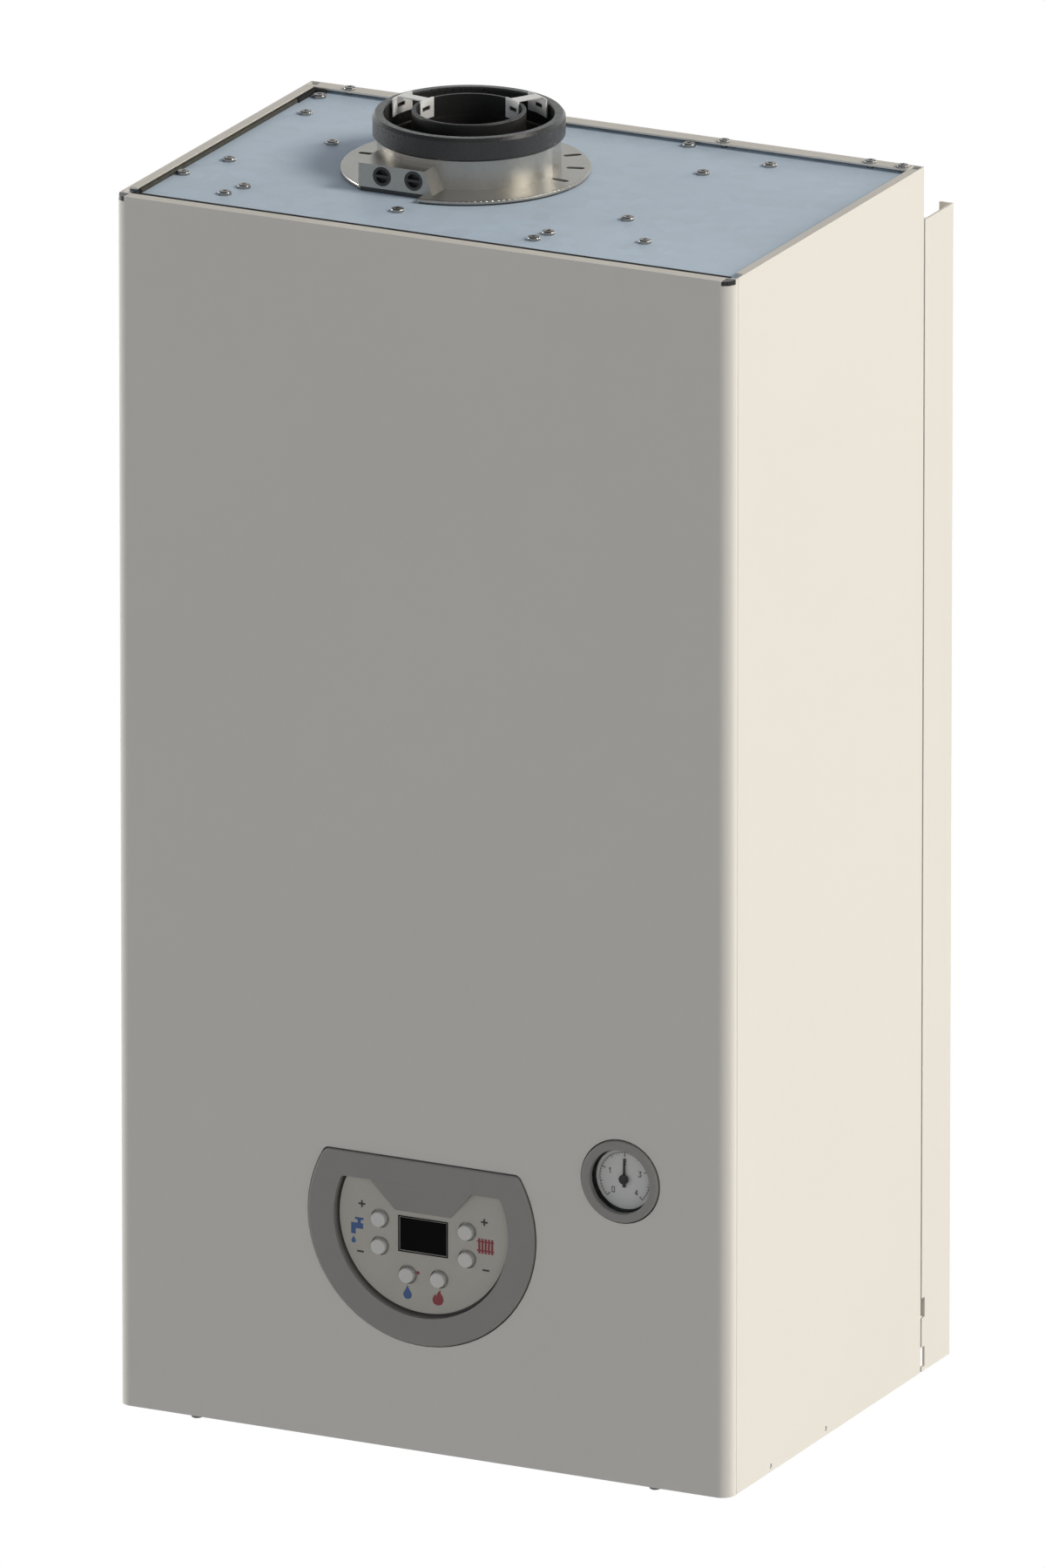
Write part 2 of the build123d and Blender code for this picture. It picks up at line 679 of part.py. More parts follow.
# dark bezel: a circle cut flat at the top, with a sloped visor over the display
with BuildPart() as fascia_bezel:
    with BuildSketch(facing(BOX_FRONT)) as rim:
        with Locations((D_X, z(D_H))):
            Circle(BEZEL_R)
        with Locations((D_X, z(BEZEL_TOP) - 100)):
            Rectangle(300, 200, mode=Mode.INTERSECT)
        fillet(rim.vertices(), radius=4.5)
    extrude(amount=BOX_FRONT - PROUD_Y)
    fillet(fascia_bezel.faces().sort_by(Axis.Y)[0].edges(), radius=1.4)
    with BuildSketch(facing(BOX_FRONT - 2)) as well:
        with Locations((D_X, z(D_H))):
            Circle(INNER_R)
        with Locations((D_X, z(INNER_TOP) - 100)):
            Rectangle(300, 200, mode=Mode.INTERSECT)
        fillet(well.vertices(), radius=3)
    extrude(amount=20, mode=Mode.SUBTRACT)
    # holes behind the keys and the display
    with BuildSketch(facing(BOX_FRONT)):
        with Locations(*[(x, z(h)) for x, h in KEYS.values()]):
            Circle(2.6)
        with Locations((0, z((LCD_LOW + LCD_TOP) / 2))):
            Rectangle(24, 12)
    extrude(amount=4, mode=Mode.SUBTRACT)
# visor: wedge from the bezel face down to the top of the display
with BuildPart() as visor_wedge:
    with BuildSketch(across(-40)):
        with BuildLine():
            Polyline((PROUD_Y + 0.15, z(INNER_TOP + 1)), (PROUD_Y + 0.15, z(INNER_TOP - 1)),
                     (PLATE_Y - 0.7, z(146.6)), (PLATE_Y - 0.05, z(146.6)),
                     (PLATE_Y - 0.05, z(INNER_TOP + 1)), close=True)
        make_face()
    extrude(amount=80)
    with BuildSketch(facing(BOX_FRONT)):
        with BuildLine():
            Polyline((-32.5, z(INNER_TOP + 2)), (32.5, z(INNER_TOP + 2)), (32.5, z(INNER_TOP - 0.5)),
                     (18, z(146.6)), (-18, z(146.6)), (-32.5, z(INNER_TOP - 0.5)), close=True)
        make_face()
    extrude(amount=20, mode=Mode.INTERSECT)
fascia_bezel.part = fascia_bezel.part + visor_wedge.part
fascia_bezel.part.label = "fascia_bezel"
export_step(fascia_bezel.part, "parts/fascia_bezel.step")

# recessed key plate
with BuildPart() as fascia_plate:
    with BuildSketch(facing(PLATE_Y + 2.5)) as plate:
        with Locations((D_X + 0.6, z(D_H + 0.6))):
            Circle(INNER_R - 1.8)
        with Locations((D_X, z(INNER_TOP - 0.8) - 100)):
            Rectangle(300, 200, mode=Mode.INTERSECT)
        fillet(plate.vertices(), radius=2.4)
        with Locations(*[(x + KEY_HOLE_SHIFT, z(h + KEY_HOLE_SHIFT)) for x, h in KEYS.values()]):
            Circle(KEY_HOLE_R, mode=Mode.SUBTRACT)
        c, l = span(LCD_LOW, LCD_TOP)
        with Locations((0, z(c))):
            Rectangle(LCD_W + 0.4, l + 0.4, mode=Mode.SUBTRACT)
    extrude(amount=2.5)
    # feet that stand on the bezel's floor
    with BuildSketch(facing(BOX_FRONT - 2)):
        with Locations((-46, z(125)), (46, z(125)), (0, z(92)), (-40, z(155)), (40, z(155))):
            Circle(2.2)
    extrude(amount=BOX_FRONT - 2 - (PLATE_Y + 2.5))
fascia_plate.part.label = "fascia_plate"
export_step(fascia_plate.part, "parts/fascia_plate.step")

with BuildPart() as display_window:
    with BuildSketch(facing(-292.2)):
        c, l = span(LCD_LOW, LCD_TOP)
        with Locations((0, z(c))):
            Rectangle(LCD_W, l)
    extrude(amount=-292.2 - (PLATE_Y + 0.1))
display_window.part.label = "display_window"
export_step(display_window.part, "parts/display_window.step")

# six keys, each with a retaining collar behind the plate
for key_name, (kx, kh) in KEYS.items():
    with BuildPart() as key:
        with BuildSketch(facing(-293.6)):
            with Locations((kx, z(kh))):
                Circle(KEY_R)
        extrude(amount=-293.6 - KEY_Y)
        fillet(key.faces().sort_by(Axis.Y)[0].edges(), radius=0.9)
        with BuildSketch(facing(-294.0)):
            with Locations((kx, z(kh))):
                Circle(7.0)
        extrude(amount=1.5)
        with BuildSketch(facing(-291.6)):
            with Locations((kx, z(kh))):
                Circle(2.0)
        extrude(amount=4)
    key.part.label = key_name
    export_step(key.part, "parts/" + key_name + ".step")

# pressure gauge
with BuildPart() as gauge_bezel:
    with BuildSketch(facing(BOX_FRONT)):
        with Locations((GX, z(GH))):
            Circle(GAUGE_R)
    extrude(amount=BOX_FRONT - PROUD_Y)
    fillet(gauge_bezel.faces().sort_by(Axis.Y)[0].edges(), radius=1.6)
    with BuildSketch(facing(BOX_FRONT - 2.2)):
        with Locations((GX, z(GH))):
            Circle(GAUGE_OPEN)
    extrude(amount=20, mode=Mode.SUBTRACT)
    fillet(gauge_bezel.edges().filter_by(GeomType.CIRCLE).filter_by(
        lambda e: abs(e.radius - GAUGE_OPEN) < 0.01 and e.center().Y < -300), radius=0.8)
gauge_bezel.part.label = "gauge_bezel"
export_step(gauge_bezel.part, "parts/gauge_bezel.step")

with BuildPart() as gauge_dial:
    with BuildSketch(facing(BOX_FRONT - 2.2)):
        with Locations((GX, z(GH))):
            Circle(GAUGE_OPEN - 0.2)
            Circle(1.05, mode=Mode.SUBTRACT)
    extrude(amount=1.8)
gauge_dial.part.label = "gauge_dial"
export_step(gauge_dial.part, "parts/gauge_dial.step")

# needle, drawn at mid scale, straight up
with BuildPart() as gauge_needle:
    with BuildSketch(facing(-295.0)):
        with Locations((GX, z(GH))):
            Circle(2.9)
    extrude(amount=1.4)
    with BuildSketch(facing(-294.6)) as pointer:
        with BuildLine():
            Polyline((GX - 0.9, z(GH) - 5.0), (GX + 0.9, z(GH) - 5.0),
                     (GX + 0.35, z(GH) + 12.5), (GX - 0.35, z(GH) + 12.5), close=True)
        make_face()
    extrude(amount=0.9)
    with BuildSketch(facing(-292.6)):
        with Locations((GX, z(GH))):
            Circle(1.0)
    extrude(amount=2.6)
gauge_needle.part.label = "gauge_needle"
export_step(gauge_needle.part, "parts/gauge_needle.step")

with BuildPart() as gauge_lens:
    with BuildSketch(facing(-297.6)):
        with Locations((GX, z(GH))):
            Circle(GAUGE_OPEN - 0.2)
    extrude(amount=1.2)
gauge_lens.part.label = "gauge_lens"
export_step(gauge_lens.part, "parts/gauge_lens.step")

# ------------------------------------------------------------------
# Combustion side
# ------------------------------------------------------------------

with BuildPart() as heat_exchanger_case:
    with BuildSketch(facing(-125)):
        with Locations((HX, z(HH))):
            Circle(DRUM_R)
    extrude(amount=87)
    # flue outlet stub, water stubs and drain stub
    with BuildSketch(level(HH)):
        with Locations((FX, FY)):
            Circle(36)
    extrude(amount=122)
    with BuildSketch(level(425)):
        with Locations((HX - 48, -140), (HX + 48, -140)):
            Circle(12)
        with Locations((HX, -188)):
            Circle(13)
    extrude(amount=50)
    with BuildSketch(facing(-131)):
        with Locations((HX, z(HH))):
            Circle(DRUM_R - 4)
    extrude(amount=87, mode=Mode.SUBTRACT)
    with BuildSketch(level(HH + 40)):
        with Locations((FX, FY)):
            Circle(PIPE_R + 0.2)
    extrude(amount=90, mode=Mode.SUBTRACT)
heat_exchanger_case.part.label = "heat_exchanger_case"
export_step(heat_exchanger_case.part, "parts/heat_exchanger_case.step")

# stainless coil, seven turns side by side
with BuildPart() as heat_exchanger_coil:
    with BuildSketch(Plane.XY):
        for i in range(7):
            with Locations((74, -204 + 10 * i)):
                Circle(5.3)
    revolve(axis=Axis.Y)
heat_exchanger_coil.part = heat_exchanger_coil.part.moved(Location((HX, 0, z(HH))))
heat_exchanger_coil.part.label = "heat_exchanger_coil"
export_step(heat_exchanger_coil.part, "parts/heat_exchanger_coil.step")

with BuildPart() as burner_door:
    with BuildSketch(facing(-212)):
        with Locations((HX, z(HH))):
            Circle(DRUM_R + 4)
    extrude(amount=8)
    with BuildSketch(facing(-212)):
        with Locations((HX, z(HH))):
            Circle(30)
    extrude(amount=11)
    with BuildSketch(facing(-200)):
        with Locations((HX, z(HH))):
            Circle(22)
        with Locations((HX + 38, z(HH) + 34), (HX + 24, z(HH) + 45)):
            Circle(3.3)
    extrude(amount=40, mode=Mode.SUBTRACT)
    fillet(burner_door.faces().sort_by(Axis.Y)[-1].outer_wire().edges(), radius=1.0)
burner_door.part.label = "burner_door"
export_step(burner_door.part, "parts/burner_door.step")

# burner tube, closed at its far end
with BuildPart() as burner:
    with BuildSketch(facing(-145)):
        with Locations((HX, z(HH))):
            Circle(34)
    extrude(amount=67)
    with BuildSketch(facing(-146.5)):
        with Locations((HX, z(HH))):
            Circle(32.5)
    extrude(amount=70, mode=Mode.SUBTRACT)
    for row in range(5):
        with BuildSketch(across(HX)):
            with Locations((-156 - 11 * row, z(HH))):
                Circle(2.0)
        extrude(amount=60, both=True, mode=Mode.SUBTRACT)
        with BuildSketch(level(HH)):
            with Locations((HX, -156 - 11 * row)):
                Circle(2.0)
        extrude(amount=60, both=True, mode=Mode.SUBTRACT)
burner.part.label = "burner"
export_step(burner.part, "parts/burner.step")

# spark and flame-sensing electrodes, through the burner door
with BuildPart() as electrodes:
    with BuildSketch(facing(-196)):
        with Locations((HX + 38, z(HH) + 34), (HX + 24, z(HH) + 45)):
            Circle(3.1)
    extrude(amount=40)
    with BuildSketch(facing(-165)):
        with Locations((HX + 38, z(HH) + 34), (HX + 24, z(HH) + 45)):
            Circle(0.9)
    extrude(amount=32)
electrodes.part.label = "electrodes"
export_step(electrodes.part, "parts/electrodes.step")

# centrifugal fan with a forward-facing outlet spout
with BuildPart() as fan_housing:
    with BuildSketch(facing(-160)):
        with Locations((FAN_X, z(FAN_H))):
            Circle(60)
        with Locations((80, z(512))):
            Rectangle(52, 52)
    extrude(amount=52)
    with BuildSketch(facing(-212)):
        with Locations((80, z(520))):
            Circle(25)
    extrude(amount=11)
    # intake neck below
    with BuildSketch(level(400)):
        with Locations((FAN_X, -186)):
            Circle(24)
    extrude(amount=30)
    # scroll chamber, outlet and intake passages, motor shaft hole
    with BuildSketch(facing(-164)):
        with Locations((FAN_X, z(FAN_H))):
            Circle(55)
        with Locations((80, z(512))):
            Rectangle(42, 42)
    extrude(amount=44, mode=Mode.SUBTRACT)
    with BuildSketch(facing(-200)):
        with Locations((80, z(520))):
            Circle(20)
    extrude(amount=40, mode=Mode.SUBTRACT)
    with BuildSketch(level(398)):
        with Locations((FAN_X, -186)):
            Circle(18)
    extrude(amount=30, mode=Mode.SUBTRACT)
    with BuildSketch(facing(-200)):
        with Locations((FAN_X, z(FAN_H))):
            Circle(5)
    extrude(amount=40, mode=Mode.SUBTRACT)
fan_housing.part.label = "fan_housing"
export_step(fan_housing.part, "parts/fan_housing.step")

with BuildPart() as fan_impeller:
    with BuildSketch(facing(-172)):
        with Locations((FAN_X, z(FAN_H))):
            Circle(46)
    extrude(amount=2)
    with BuildSketch(facing(-174)):
        with Locations((FAN_X, z(FAN_H))):
            with PolarLocations(39, 16):
                Rectangle(13, 1.6, rotation=35)
    extrude(amount=24)
    with BuildSketch(facing(-196)):
        with Locations((FAN_X, z(FAN_H))):
            Circle(46.5)
            Circle(36, mode=Mode.SUBTRACT)
    extrude(amount=2)
    with BuildSketch(facing(-172)):
        with Locations((FAN_X, z(FAN_H))):
            Circle(8)
    extrude(amount=28)
    with BuildSketch(facing(-200)):
        with Locations((FAN_X, z(FAN_H))):
            Circle(3.0)
    extrude(amount=28)
fan_impeller.part.label = "fan_impeller"
export_step(fan_impeller.part, "parts/fan_impeller.step")

with BuildPart() as fan_motor:
    with BuildSketch(facing(-212.2)):
        with Locations((FAN_X, z(FAN_H))):
            Circle(30)
    extrude(amount=36)
    fillet(fan_motor.faces().sort_by(Axis.Y)[0].edges(), radius=4)
    with BuildSketch(facing(-212)):
        with Locations((FAN_X, z(FAN_H))):
            Circle(3.05)
    extrude(amount=20, mode=Mode.SUBTRACT)
fan_motor.part.label = "fan_motor"
export_step(fan_motor.part, "parts/fan_motor.step")

# duct that carries the gas and air mixture to the burner door
with BuildPart() as mixture_duct:
    with BuildSketch(facing(-223.2)):
        with Locations((19, z(520))):
            RectangleRounded(182, 54, 24)
    extrude(amount=34)
    fillet(mixture_duct.faces().sort_by(Axis.Y)[0].edges(), radius=10)
    with BuildSketch(facing(-226)):
        with Locations((19, z(520))):
            RectangleRounded(174, 46, 20)
    extrude(amount=26, mode=Mode.SUBTRACT)
    with BuildSketch(facing(-222)):
        with Locations((HX, z(520)), (80, z(520))):
            Circle(20)
    extrude(amount=10, mode=Mode.SUBTRACT)
mixture_duct.part.label = "mixture_duct"
export_step(mixture_duct.part, "parts/mixture_duct.step")

# gas valve with the mixing venturi on top
with BuildPart() as gas_valve:
    with BuildSketch(level(262)):
        with Locations((FAN_X, -186)):
            RectangleRounded(70, 56, 5)
    extrude(amount=70)
    with BuildSketch(level(332)):
        with Locations((FAN_X, -186)):
            Circle(24)
    extrude(amount=67.8)
    with BuildSketch(level(350)):
        with Locations((FAN_X, -186)):
            Circle(17)
    extrude(amount=60, mode=Mode.SUBTRACT)
    # air inlet of the venturi, to the right
    with BuildSketch(across(FAN_X)):
        with Locations((-186, z(364))):
            Circle(11)
    extrude(amount=40, mode=Mode.SUBTRACT)
    # solenoid caps on the left side
    with BuildSketch(across(FAN_X - 35)):
        with Locations((-202, z(297)), (-172, z(297))):
            Circle(12)
    extrude(amount=-22)
gas_valve.part.label = "gas_valve"
export_step(gas_valve.part, "parts/gas_valve.step")

# gas pipe from the lower tail to the valve
GAS_R = 7.5
with BuildPart() as gas_pipe:
    with BuildLine() as gas_run:
        FilletPolyline((0, TAIL_Y, z(TAIL_END)), (0, TAIL_Y, z(240)), (FAN_X, TAIL_Y, z(240)),
                       (FAN_X, -186, z(240)), (FAN_X, -186, z(262)), radius=18)
    with BuildSketch(Plane(gas_run.line @ 0, z_dir=gas_run.line % 0)):
        Circle(GAS_R)
        Circle(GAS_R - 1.2, mode=Mode.SUBTRACT)
    sweep()
    with BuildSketch(level(NUT_LOW)):
        with Locations((0, TAIL_Y)):
            RegularPolygon(14, 6)
            Circle(7.0, mode=Mode.SUBTRACT)
    extrude(amount=NUT_TOP - NUT_LOW)
gas_pipe.part.label = "gas_pipe"
export_step(gas_pipe.part, "parts/gas_pipe.step")

# condensate trap under the heat exchanger, with its drain to the bottom
with BuildPart() as trap_drain:
    with BuildLine() as drain_run:
        FilletPolyline((HX, -188, z(352)), (HX, -188, z(300)), (-175, -188, z(300)),
                       (-175, -188, z(TAIL_END)), radius=26)
    with BuildSketch(Plane(drain_run.line @ 0, z_dir=drain_run.line % 0)):
        Circle(10.5)
        Circle(8.5, mode=Mode.SUBTRACT)
    sweep()
with BuildPart() as condensate_trap:
    with BuildSketch(level(348)):
        with Locations((HX, -188)):
            Circle(22)
    extrude(amount=77)
    with BuildSketch(level(351)):
        with Locations((HX, -188)):
            Circle(19.5)
    extrude(amount=71, mode=Mode.SUBTRACT)
    with BuildSketch(level(340)):
        with Locations((HX, -188)):
            Circle(8.5)
    extrude(amount=100, mode=Mode.SUBTRACT)
with BuildPart() as drain_ring:
    with BuildSketch(level(8)):
        with Locations((-175, -188)):
            Circle(11.8)
            Circle(9.5, mode=Mode.SUBTRACT)
    extrude(amount=4)
condensate_trap.part = condensate_trap.part + trap_drain.part + drain_ring.part
condensate_trap.part.label = "condensate_trap"
export_step(condensate_trap.part, "parts/condensate_trap.step")

# ------------------------------------------------------------------
# Hydraulic side
# ------------------------------------------------------------------

# left block: diverter valve and heating flow
with BuildPart() as diverter_valve:
    with BuildSketch(level(40)):
        c, l = span(-164, -84)
        with Locations((-105, c)):
            RectangleRounded(120, l, 8)
    extrude(amount=90)
    with BuildSketch(facing(-108)):
        with Locations((DIV_X, z(DIV_H))):
            Circle(15)
    extrude(amount=60, mode=Mode.SUBTRACT)
diverter_valve.part.label = "diverter_valve"
export_step(diverter_valve.part, "parts/diverter_valve.step")

with BuildPart() as diverter_spindle:
    with BuildSketch(facing(-130)):
        with Locations((DIV_X, z(DIV_H))):
            Circle(3.0)
    extrude(amount=52)
    with BuildSketch(facing(-138)):
        with Locations((DIV_X, z(DIV_H))):
            Circle(12.5)
    extrude(amount=5)
diverter_spindle.part.label = "diverter_spindle"
export_step(diverter_spindle.part, "parts/diverter_spindle.step")

with BuildPart() as diverter_motor:
    with BuildSketch(facing(-164)):
        with Locations((DIV_X, z(DIV_H))):
            Circle(20)
    extrude(amount=10)
    with BuildSketch(facing(-174)):
        with Locations((DIV_X, z(DIV_H))):
            RectangleRounded(42, 52, 6)
    extrude(amount=34)
    with BuildSketch(facing(-160)):
        with Locations((DIV_X, z(DIV_H))):
            Circle(3.06)
    extrude(amount=40, mode=Mode.SUBTRACT)
diverter_motor.part.label = "diverter_motor"
export_step(diverter_motor.part, "parts/diverter_motor.step")

# right block: pump scroll, heating return and safety-valve boss
with BuildPart() as pump_housing:
    with BuildSketch(level(40)):
        c, l = span(-164, -84)
        with Locations((105, c)):
            RectangleRounded(120, l, 8)
    extrude(amount=90)
    with BuildSketch(level(130)):
        with Locations((82, -104)):
            Circle(13)
    extrude(amount=16)
    with BuildSketch(facing(-118)):
        with Locations((PUMP_X, z(PUMP_H))):
            Circle(34)
    extrude(amount=60, mode=Mode.SUBTRACT)
    # bores of the safety-valve stem and the filling-tap stem
    with BuildSketch(level(126)):
        with Locations((82, -104)):
            Circle(3.55)
    extrude(amount=40, mode=Mode.SUBTRACT)
    with BuildSketch(level(30)):
        with Locations((95, -150)):
            Circle(4.05)
    extrude(amount=20, mode=Mode.SUBTRACT)
pump_housing.part.label = "pump_housing"
export_step(pump_housing.part, "parts/pump_housing.step")

with BuildPart() as pump_impeller:
    with BuildSketch(facing(-124)):
        with Locations((PUMP_X, z(PUMP_H))):
            Circle(30)
    extrude(amount=2)
    with BuildSketch(facing(-126)):
        with Locations((PUMP_X, z(PUMP_H))):
            with PolarLocations(19, 7):
                Rectangle(19, 1.8, rotation=40)
    extrude(amount=10)
    with BuildSketch(facing(-136)):
        with Locations((PUMP_X, z(PUMP_H))):
            Circle(30)
            Circle(12, mode=Mode.SUBTRACT)
    extrude(amount=2)
    with BuildSketch(facing(-124)):
        with Locations((PUMP_X, z(PUMP_H))):
            Circle(7)
    extrude(amount=20)
    with BuildSketch(facing(-144)):
        with Locations((PUMP_X, z(PUMP_H))):
            Circle(4)
    extrude(amount=46)
pump_impeller.part.label = "pump_impeller"
export_step(pump_impeller.part, "parts/pump_impeller.step")

with BuildPart() as pump_motor:
    with BuildSketch(facing(-152)):
        with Locations((PUMP_X, z(PUMP_H))):
            Circle(33.7)
    extrude(amount=12)
    with BuildSketch(facing(-164)):
        with Locations((PUMP_X, z(PUMP_H))):
            Circle(37)
    extrude(amount=46)
    fillet(pump_motor.faces().sort_by(Axis.Y)[0].edges(), radius=5)
    with BuildSketch(facing(-150)):
        with Locations((PUMP_X, z(PUMP_H))):
            Circle(4.06)
    extrude(amount=48, mode=Mode.SUBTRACT)
pump_motor.part.label = "pump_motor"
export_step(pump_motor.part, "parts/pump_motor.step")

# red turn-to-lift knob of the safety valve
with BuildPart() as relief_knob:
    with BuildSketch(level(147)):
        with Locations((82, -104)):
            Circle(14)
            with PolarLocations(14.6, 10):
                Circle(2.2, mode=Mode.SUBTRACT)
    extrude(amount=18)
    with BuildSketch(level(128)):
        with Locations((82, -104)):
            Circle(3.5)
    extrude(amount=19)
relief_knob.part.label = "relief_knob"
export_step(relief_knob.part, "parts/relief_knob.step")

# filling tap under the casing
with BuildPart() as filling_tap:
    with BuildSketch(level(-12)):
        with Locations((95, -150)):
            Circle(13)
            with PolarLocations(13.8, 8):
                Circle(2.4, mode=Mode.SUBTRACT)
    extrude(amount=16)
    with BuildSketch(level(4)):
        with Locations((95, -150)):
            Circle(4.0)
    extrude(amount=44)
filling_tap.part.label = "filling_tap"
export_step(filling_tap.part, "parts/filling_tap.step")

# brazed plate heat exchanger for tap water, across the two blocks
with BuildPart() as plate_heat_exchanger:
    with BuildSketch(facing(-166.5)):
        with Locations((-10, z(96))):
            RectangleRounded(188, 60, 12)
    extrude(amount=34)
    for i in range(8):
        with BuildSketch(facing(-169.5 - 4 * i)):
            with Locations((-10, z(96))):
                RectangleRounded(190.4, 62.4, 13)
                RectangleRounded(187, 59, 12, mode=Mode.SUBTRACT)
        extrude(amount=1.6)
    # port rings against the blocks
    with BuildSketch(facing(-164)):
        with Locations((-82, z(84)), (-60, z(112)), (58, z(84)), (66, z(112))):
            Circle(9)
    extrude(amount=2.5)
plate_heat_exchanger.part.label = "plate_heat_exchanger"
export_step(plate_heat_exchanger.part, "parts/plate_heat_exchanger.step")

# flat expansion vessel against the rear panel: a pressed shell 1.5 mm thick
with BuildPart() as vessel_cavity:
    with BuildSketch(facing(-49.5)):
        with Locations((0, z(500))):
            RectangleRounded(337, 397, 68.5)
    extrude(amount=63)
    fillet(vessel_cavity.faces().sort_by(Axis.Y)[0].edges(), radius=16.5)
    fillet(vessel_cavity.faces().sort_by(Axis.Y)[-1].edges(), radius=16.5)
with BuildPart() as expansion_vessel:
    with BuildSketch(facing(-48)):
        with Locations((0, z(500))):
            RectangleRounded(340, 400, 70)
    extrude(amount=66)
    fillet(expansion_vessel.faces().sort_by(Axis.Y)[0].edges(), radius=18)
    fillet(expansion_vessel.faces().sort_by(Axis.Y)[-1].edges(), radius=18)
    # crimped seam
    with BuildSketch(facing(-79)):
        with Locations((0, z(500))):
            RectangleRounded(348, 408, 74)
    extrude(amount=4)
    # mounting pads to the rear panel
    with BuildSketch(facing(BACK_Y - SHEET)):
        with Locations((-100, z(620)), (100, z(620)), (0, z(370))):
            Circle(12)
    extrude(amount=8)
expansion_vessel.part = expansion_vessel.part - vessel_cavity.part
expansion_vessel.part.label = "expansion_vessel"
export_step(expansion_vessel.part, "parts/expansion_vessel.step")

# heating pipes between the heat exchanger and the blocks
with BuildPart() as flow_pipe:
    with BuildLine() as flow_run:
        FilletPolyline((-140, -140, z(130)), (-140, -140, z(210)), (HX - 48, -140, z(260)),
                       (HX - 48, -140, z(425)), radius=24)
    with BuildSketch(Plane(flow_run.line @ 0, z_dir=flow_run.line % 0)):
        Circle(9)
        Circle(8, mode=Mode.SUBTRACT)
    sweep()
flow_pipe.part.label = "flow_pipe"
export_step(flow_pipe.part, "parts/flow_pipe.step")

with BuildPart() as return_pipe:
    with BuildLine() as return_run:
        FilletPolyline((140, -140, z(130)), (140, -140, z(200)), (HX + 48, -140, z(290)),
                       (HX + 48, -140, z(425)), radius=24)
    with BuildSketch(Plane(return_run.line @ 0, z_dir=return_run.line % 0)):
        Circle(9)
        Circle(8, mode=Mode.SUBTRACT)
    sweep()
return_pipe.part.label = "return_pipe"
export_step(return_pipe.part, "parts/return_pipe.step")

# four water connections under the casing, with union nuts
with BuildPart() as pipe_tails:
    with BuildSketch(level(TAIL_END)):
        with Locations((-130, TAIL_Y), (130, TAIL_Y)):
            Circle(11)
            Circle(10, mode=Mode.SUBTRACT)
        with Locations((-65, TAIL_Y), (65, TAIL_Y)):
            Circle(7.5)
            Circle(6.5, mode=Mode.SUBTRACT)
    extrude(amount=40 - TAIL_END)
    with BuildSketch(level(NUT_LOW)):
        with Locations((-130, TAIL_Y), (130, TAIL_Y)):
            RegularPolygon(18, 6)
            Circle(10.5, mode=Mode.SUBTRACT)
        with Locations((-65, TAIL_Y), (65, TAIL_Y)):
            RegularPolygon(14, 6)
            Circle(7.0, mode=Mode.SUBTRACT)
    extrude(amount=NUT_TOP - NUT_LOW)
pipe_tails.part.label = "pipe_tails"
export_step(pipe_tails.part, "parts/pipe_tails.step")
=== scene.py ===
import bpy
import bmesh
import json
import math
from mathutils import Vector, Matrix


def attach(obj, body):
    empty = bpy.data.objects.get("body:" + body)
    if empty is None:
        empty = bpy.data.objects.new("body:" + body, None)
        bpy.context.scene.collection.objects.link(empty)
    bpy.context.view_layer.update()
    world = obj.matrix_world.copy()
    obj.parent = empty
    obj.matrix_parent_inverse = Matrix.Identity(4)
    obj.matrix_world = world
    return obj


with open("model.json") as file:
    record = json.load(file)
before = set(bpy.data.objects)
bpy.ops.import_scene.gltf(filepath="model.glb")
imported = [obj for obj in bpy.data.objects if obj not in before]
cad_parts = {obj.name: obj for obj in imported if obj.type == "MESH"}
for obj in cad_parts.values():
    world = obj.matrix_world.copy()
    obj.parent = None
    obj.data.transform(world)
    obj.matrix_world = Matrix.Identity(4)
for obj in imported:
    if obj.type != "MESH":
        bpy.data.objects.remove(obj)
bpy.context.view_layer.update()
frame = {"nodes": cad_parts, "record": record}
nodes = frame["nodes"]
scene = bpy.context.scene

BOTTOM = -0.688          # casing's bottom edge


def H(h_mm):
    """Height above the casing's bottom edge in mm, as a Z coordinate in metres."""
    return (h_mm - 688.0) / 1000.0


# ------------------------------------------------------------------
# Camera
# ------------------------------------------------------------------
AZ, EL = math.radians(26.09), math.radians(17.65)
PX_PER_M = 1955.1
LENS = 900.0
dist = 50.0 * LENS / PX_PER_M
centre = Vector((0.0, -0.170, -0.316))
back = Vector((math.sin(AZ) * math.cos(EL), -math.cos(AZ) * math.cos(EL), math.sin(EL)))
right = Vector((math.cos(AZ), math.sin(AZ), 0.0))
up = back.cross(right)
aim = centre + right * (3.45 / PX_PER_M) + up * (4.1 / PX_PER_M)
cam_data = bpy.data.cameras.new("camera")
cam_data.sensor_width = 36.0
cam_data.lens = LENS
cam_data.clip_start = 0.1
cam_data.clip_end = 200.0
cam = bpy.data.objects.new("camera", cam_data)
scene.collection.objects.link(cam)
rot = Matrix((right, up, back)).transposed()
cam.matrix_world = Matrix.Translation(aim + back * dist) @ rot.to_4x4()
scene.camera = cam

scene.view_settings.view_transform = "Standard"
scene.view_settings.look = "None"
scene.view_settings.exposure = 0.0
scene.view_settings.gamma = 1.0

# ------------------------------------------------------------------
# Light: a warm low sun from the right, just behind the front plane, in a
# pale surrounding that is brighter above than below, with a white
# backdrop behind the object
# ------------------------------------------------------------------
world = bpy.data.worlds.new("studio")
scene.world = world
world.use_nodes = True
wn = world.node_tree.nodes
wl = world.node_tree.links
wn.clear()


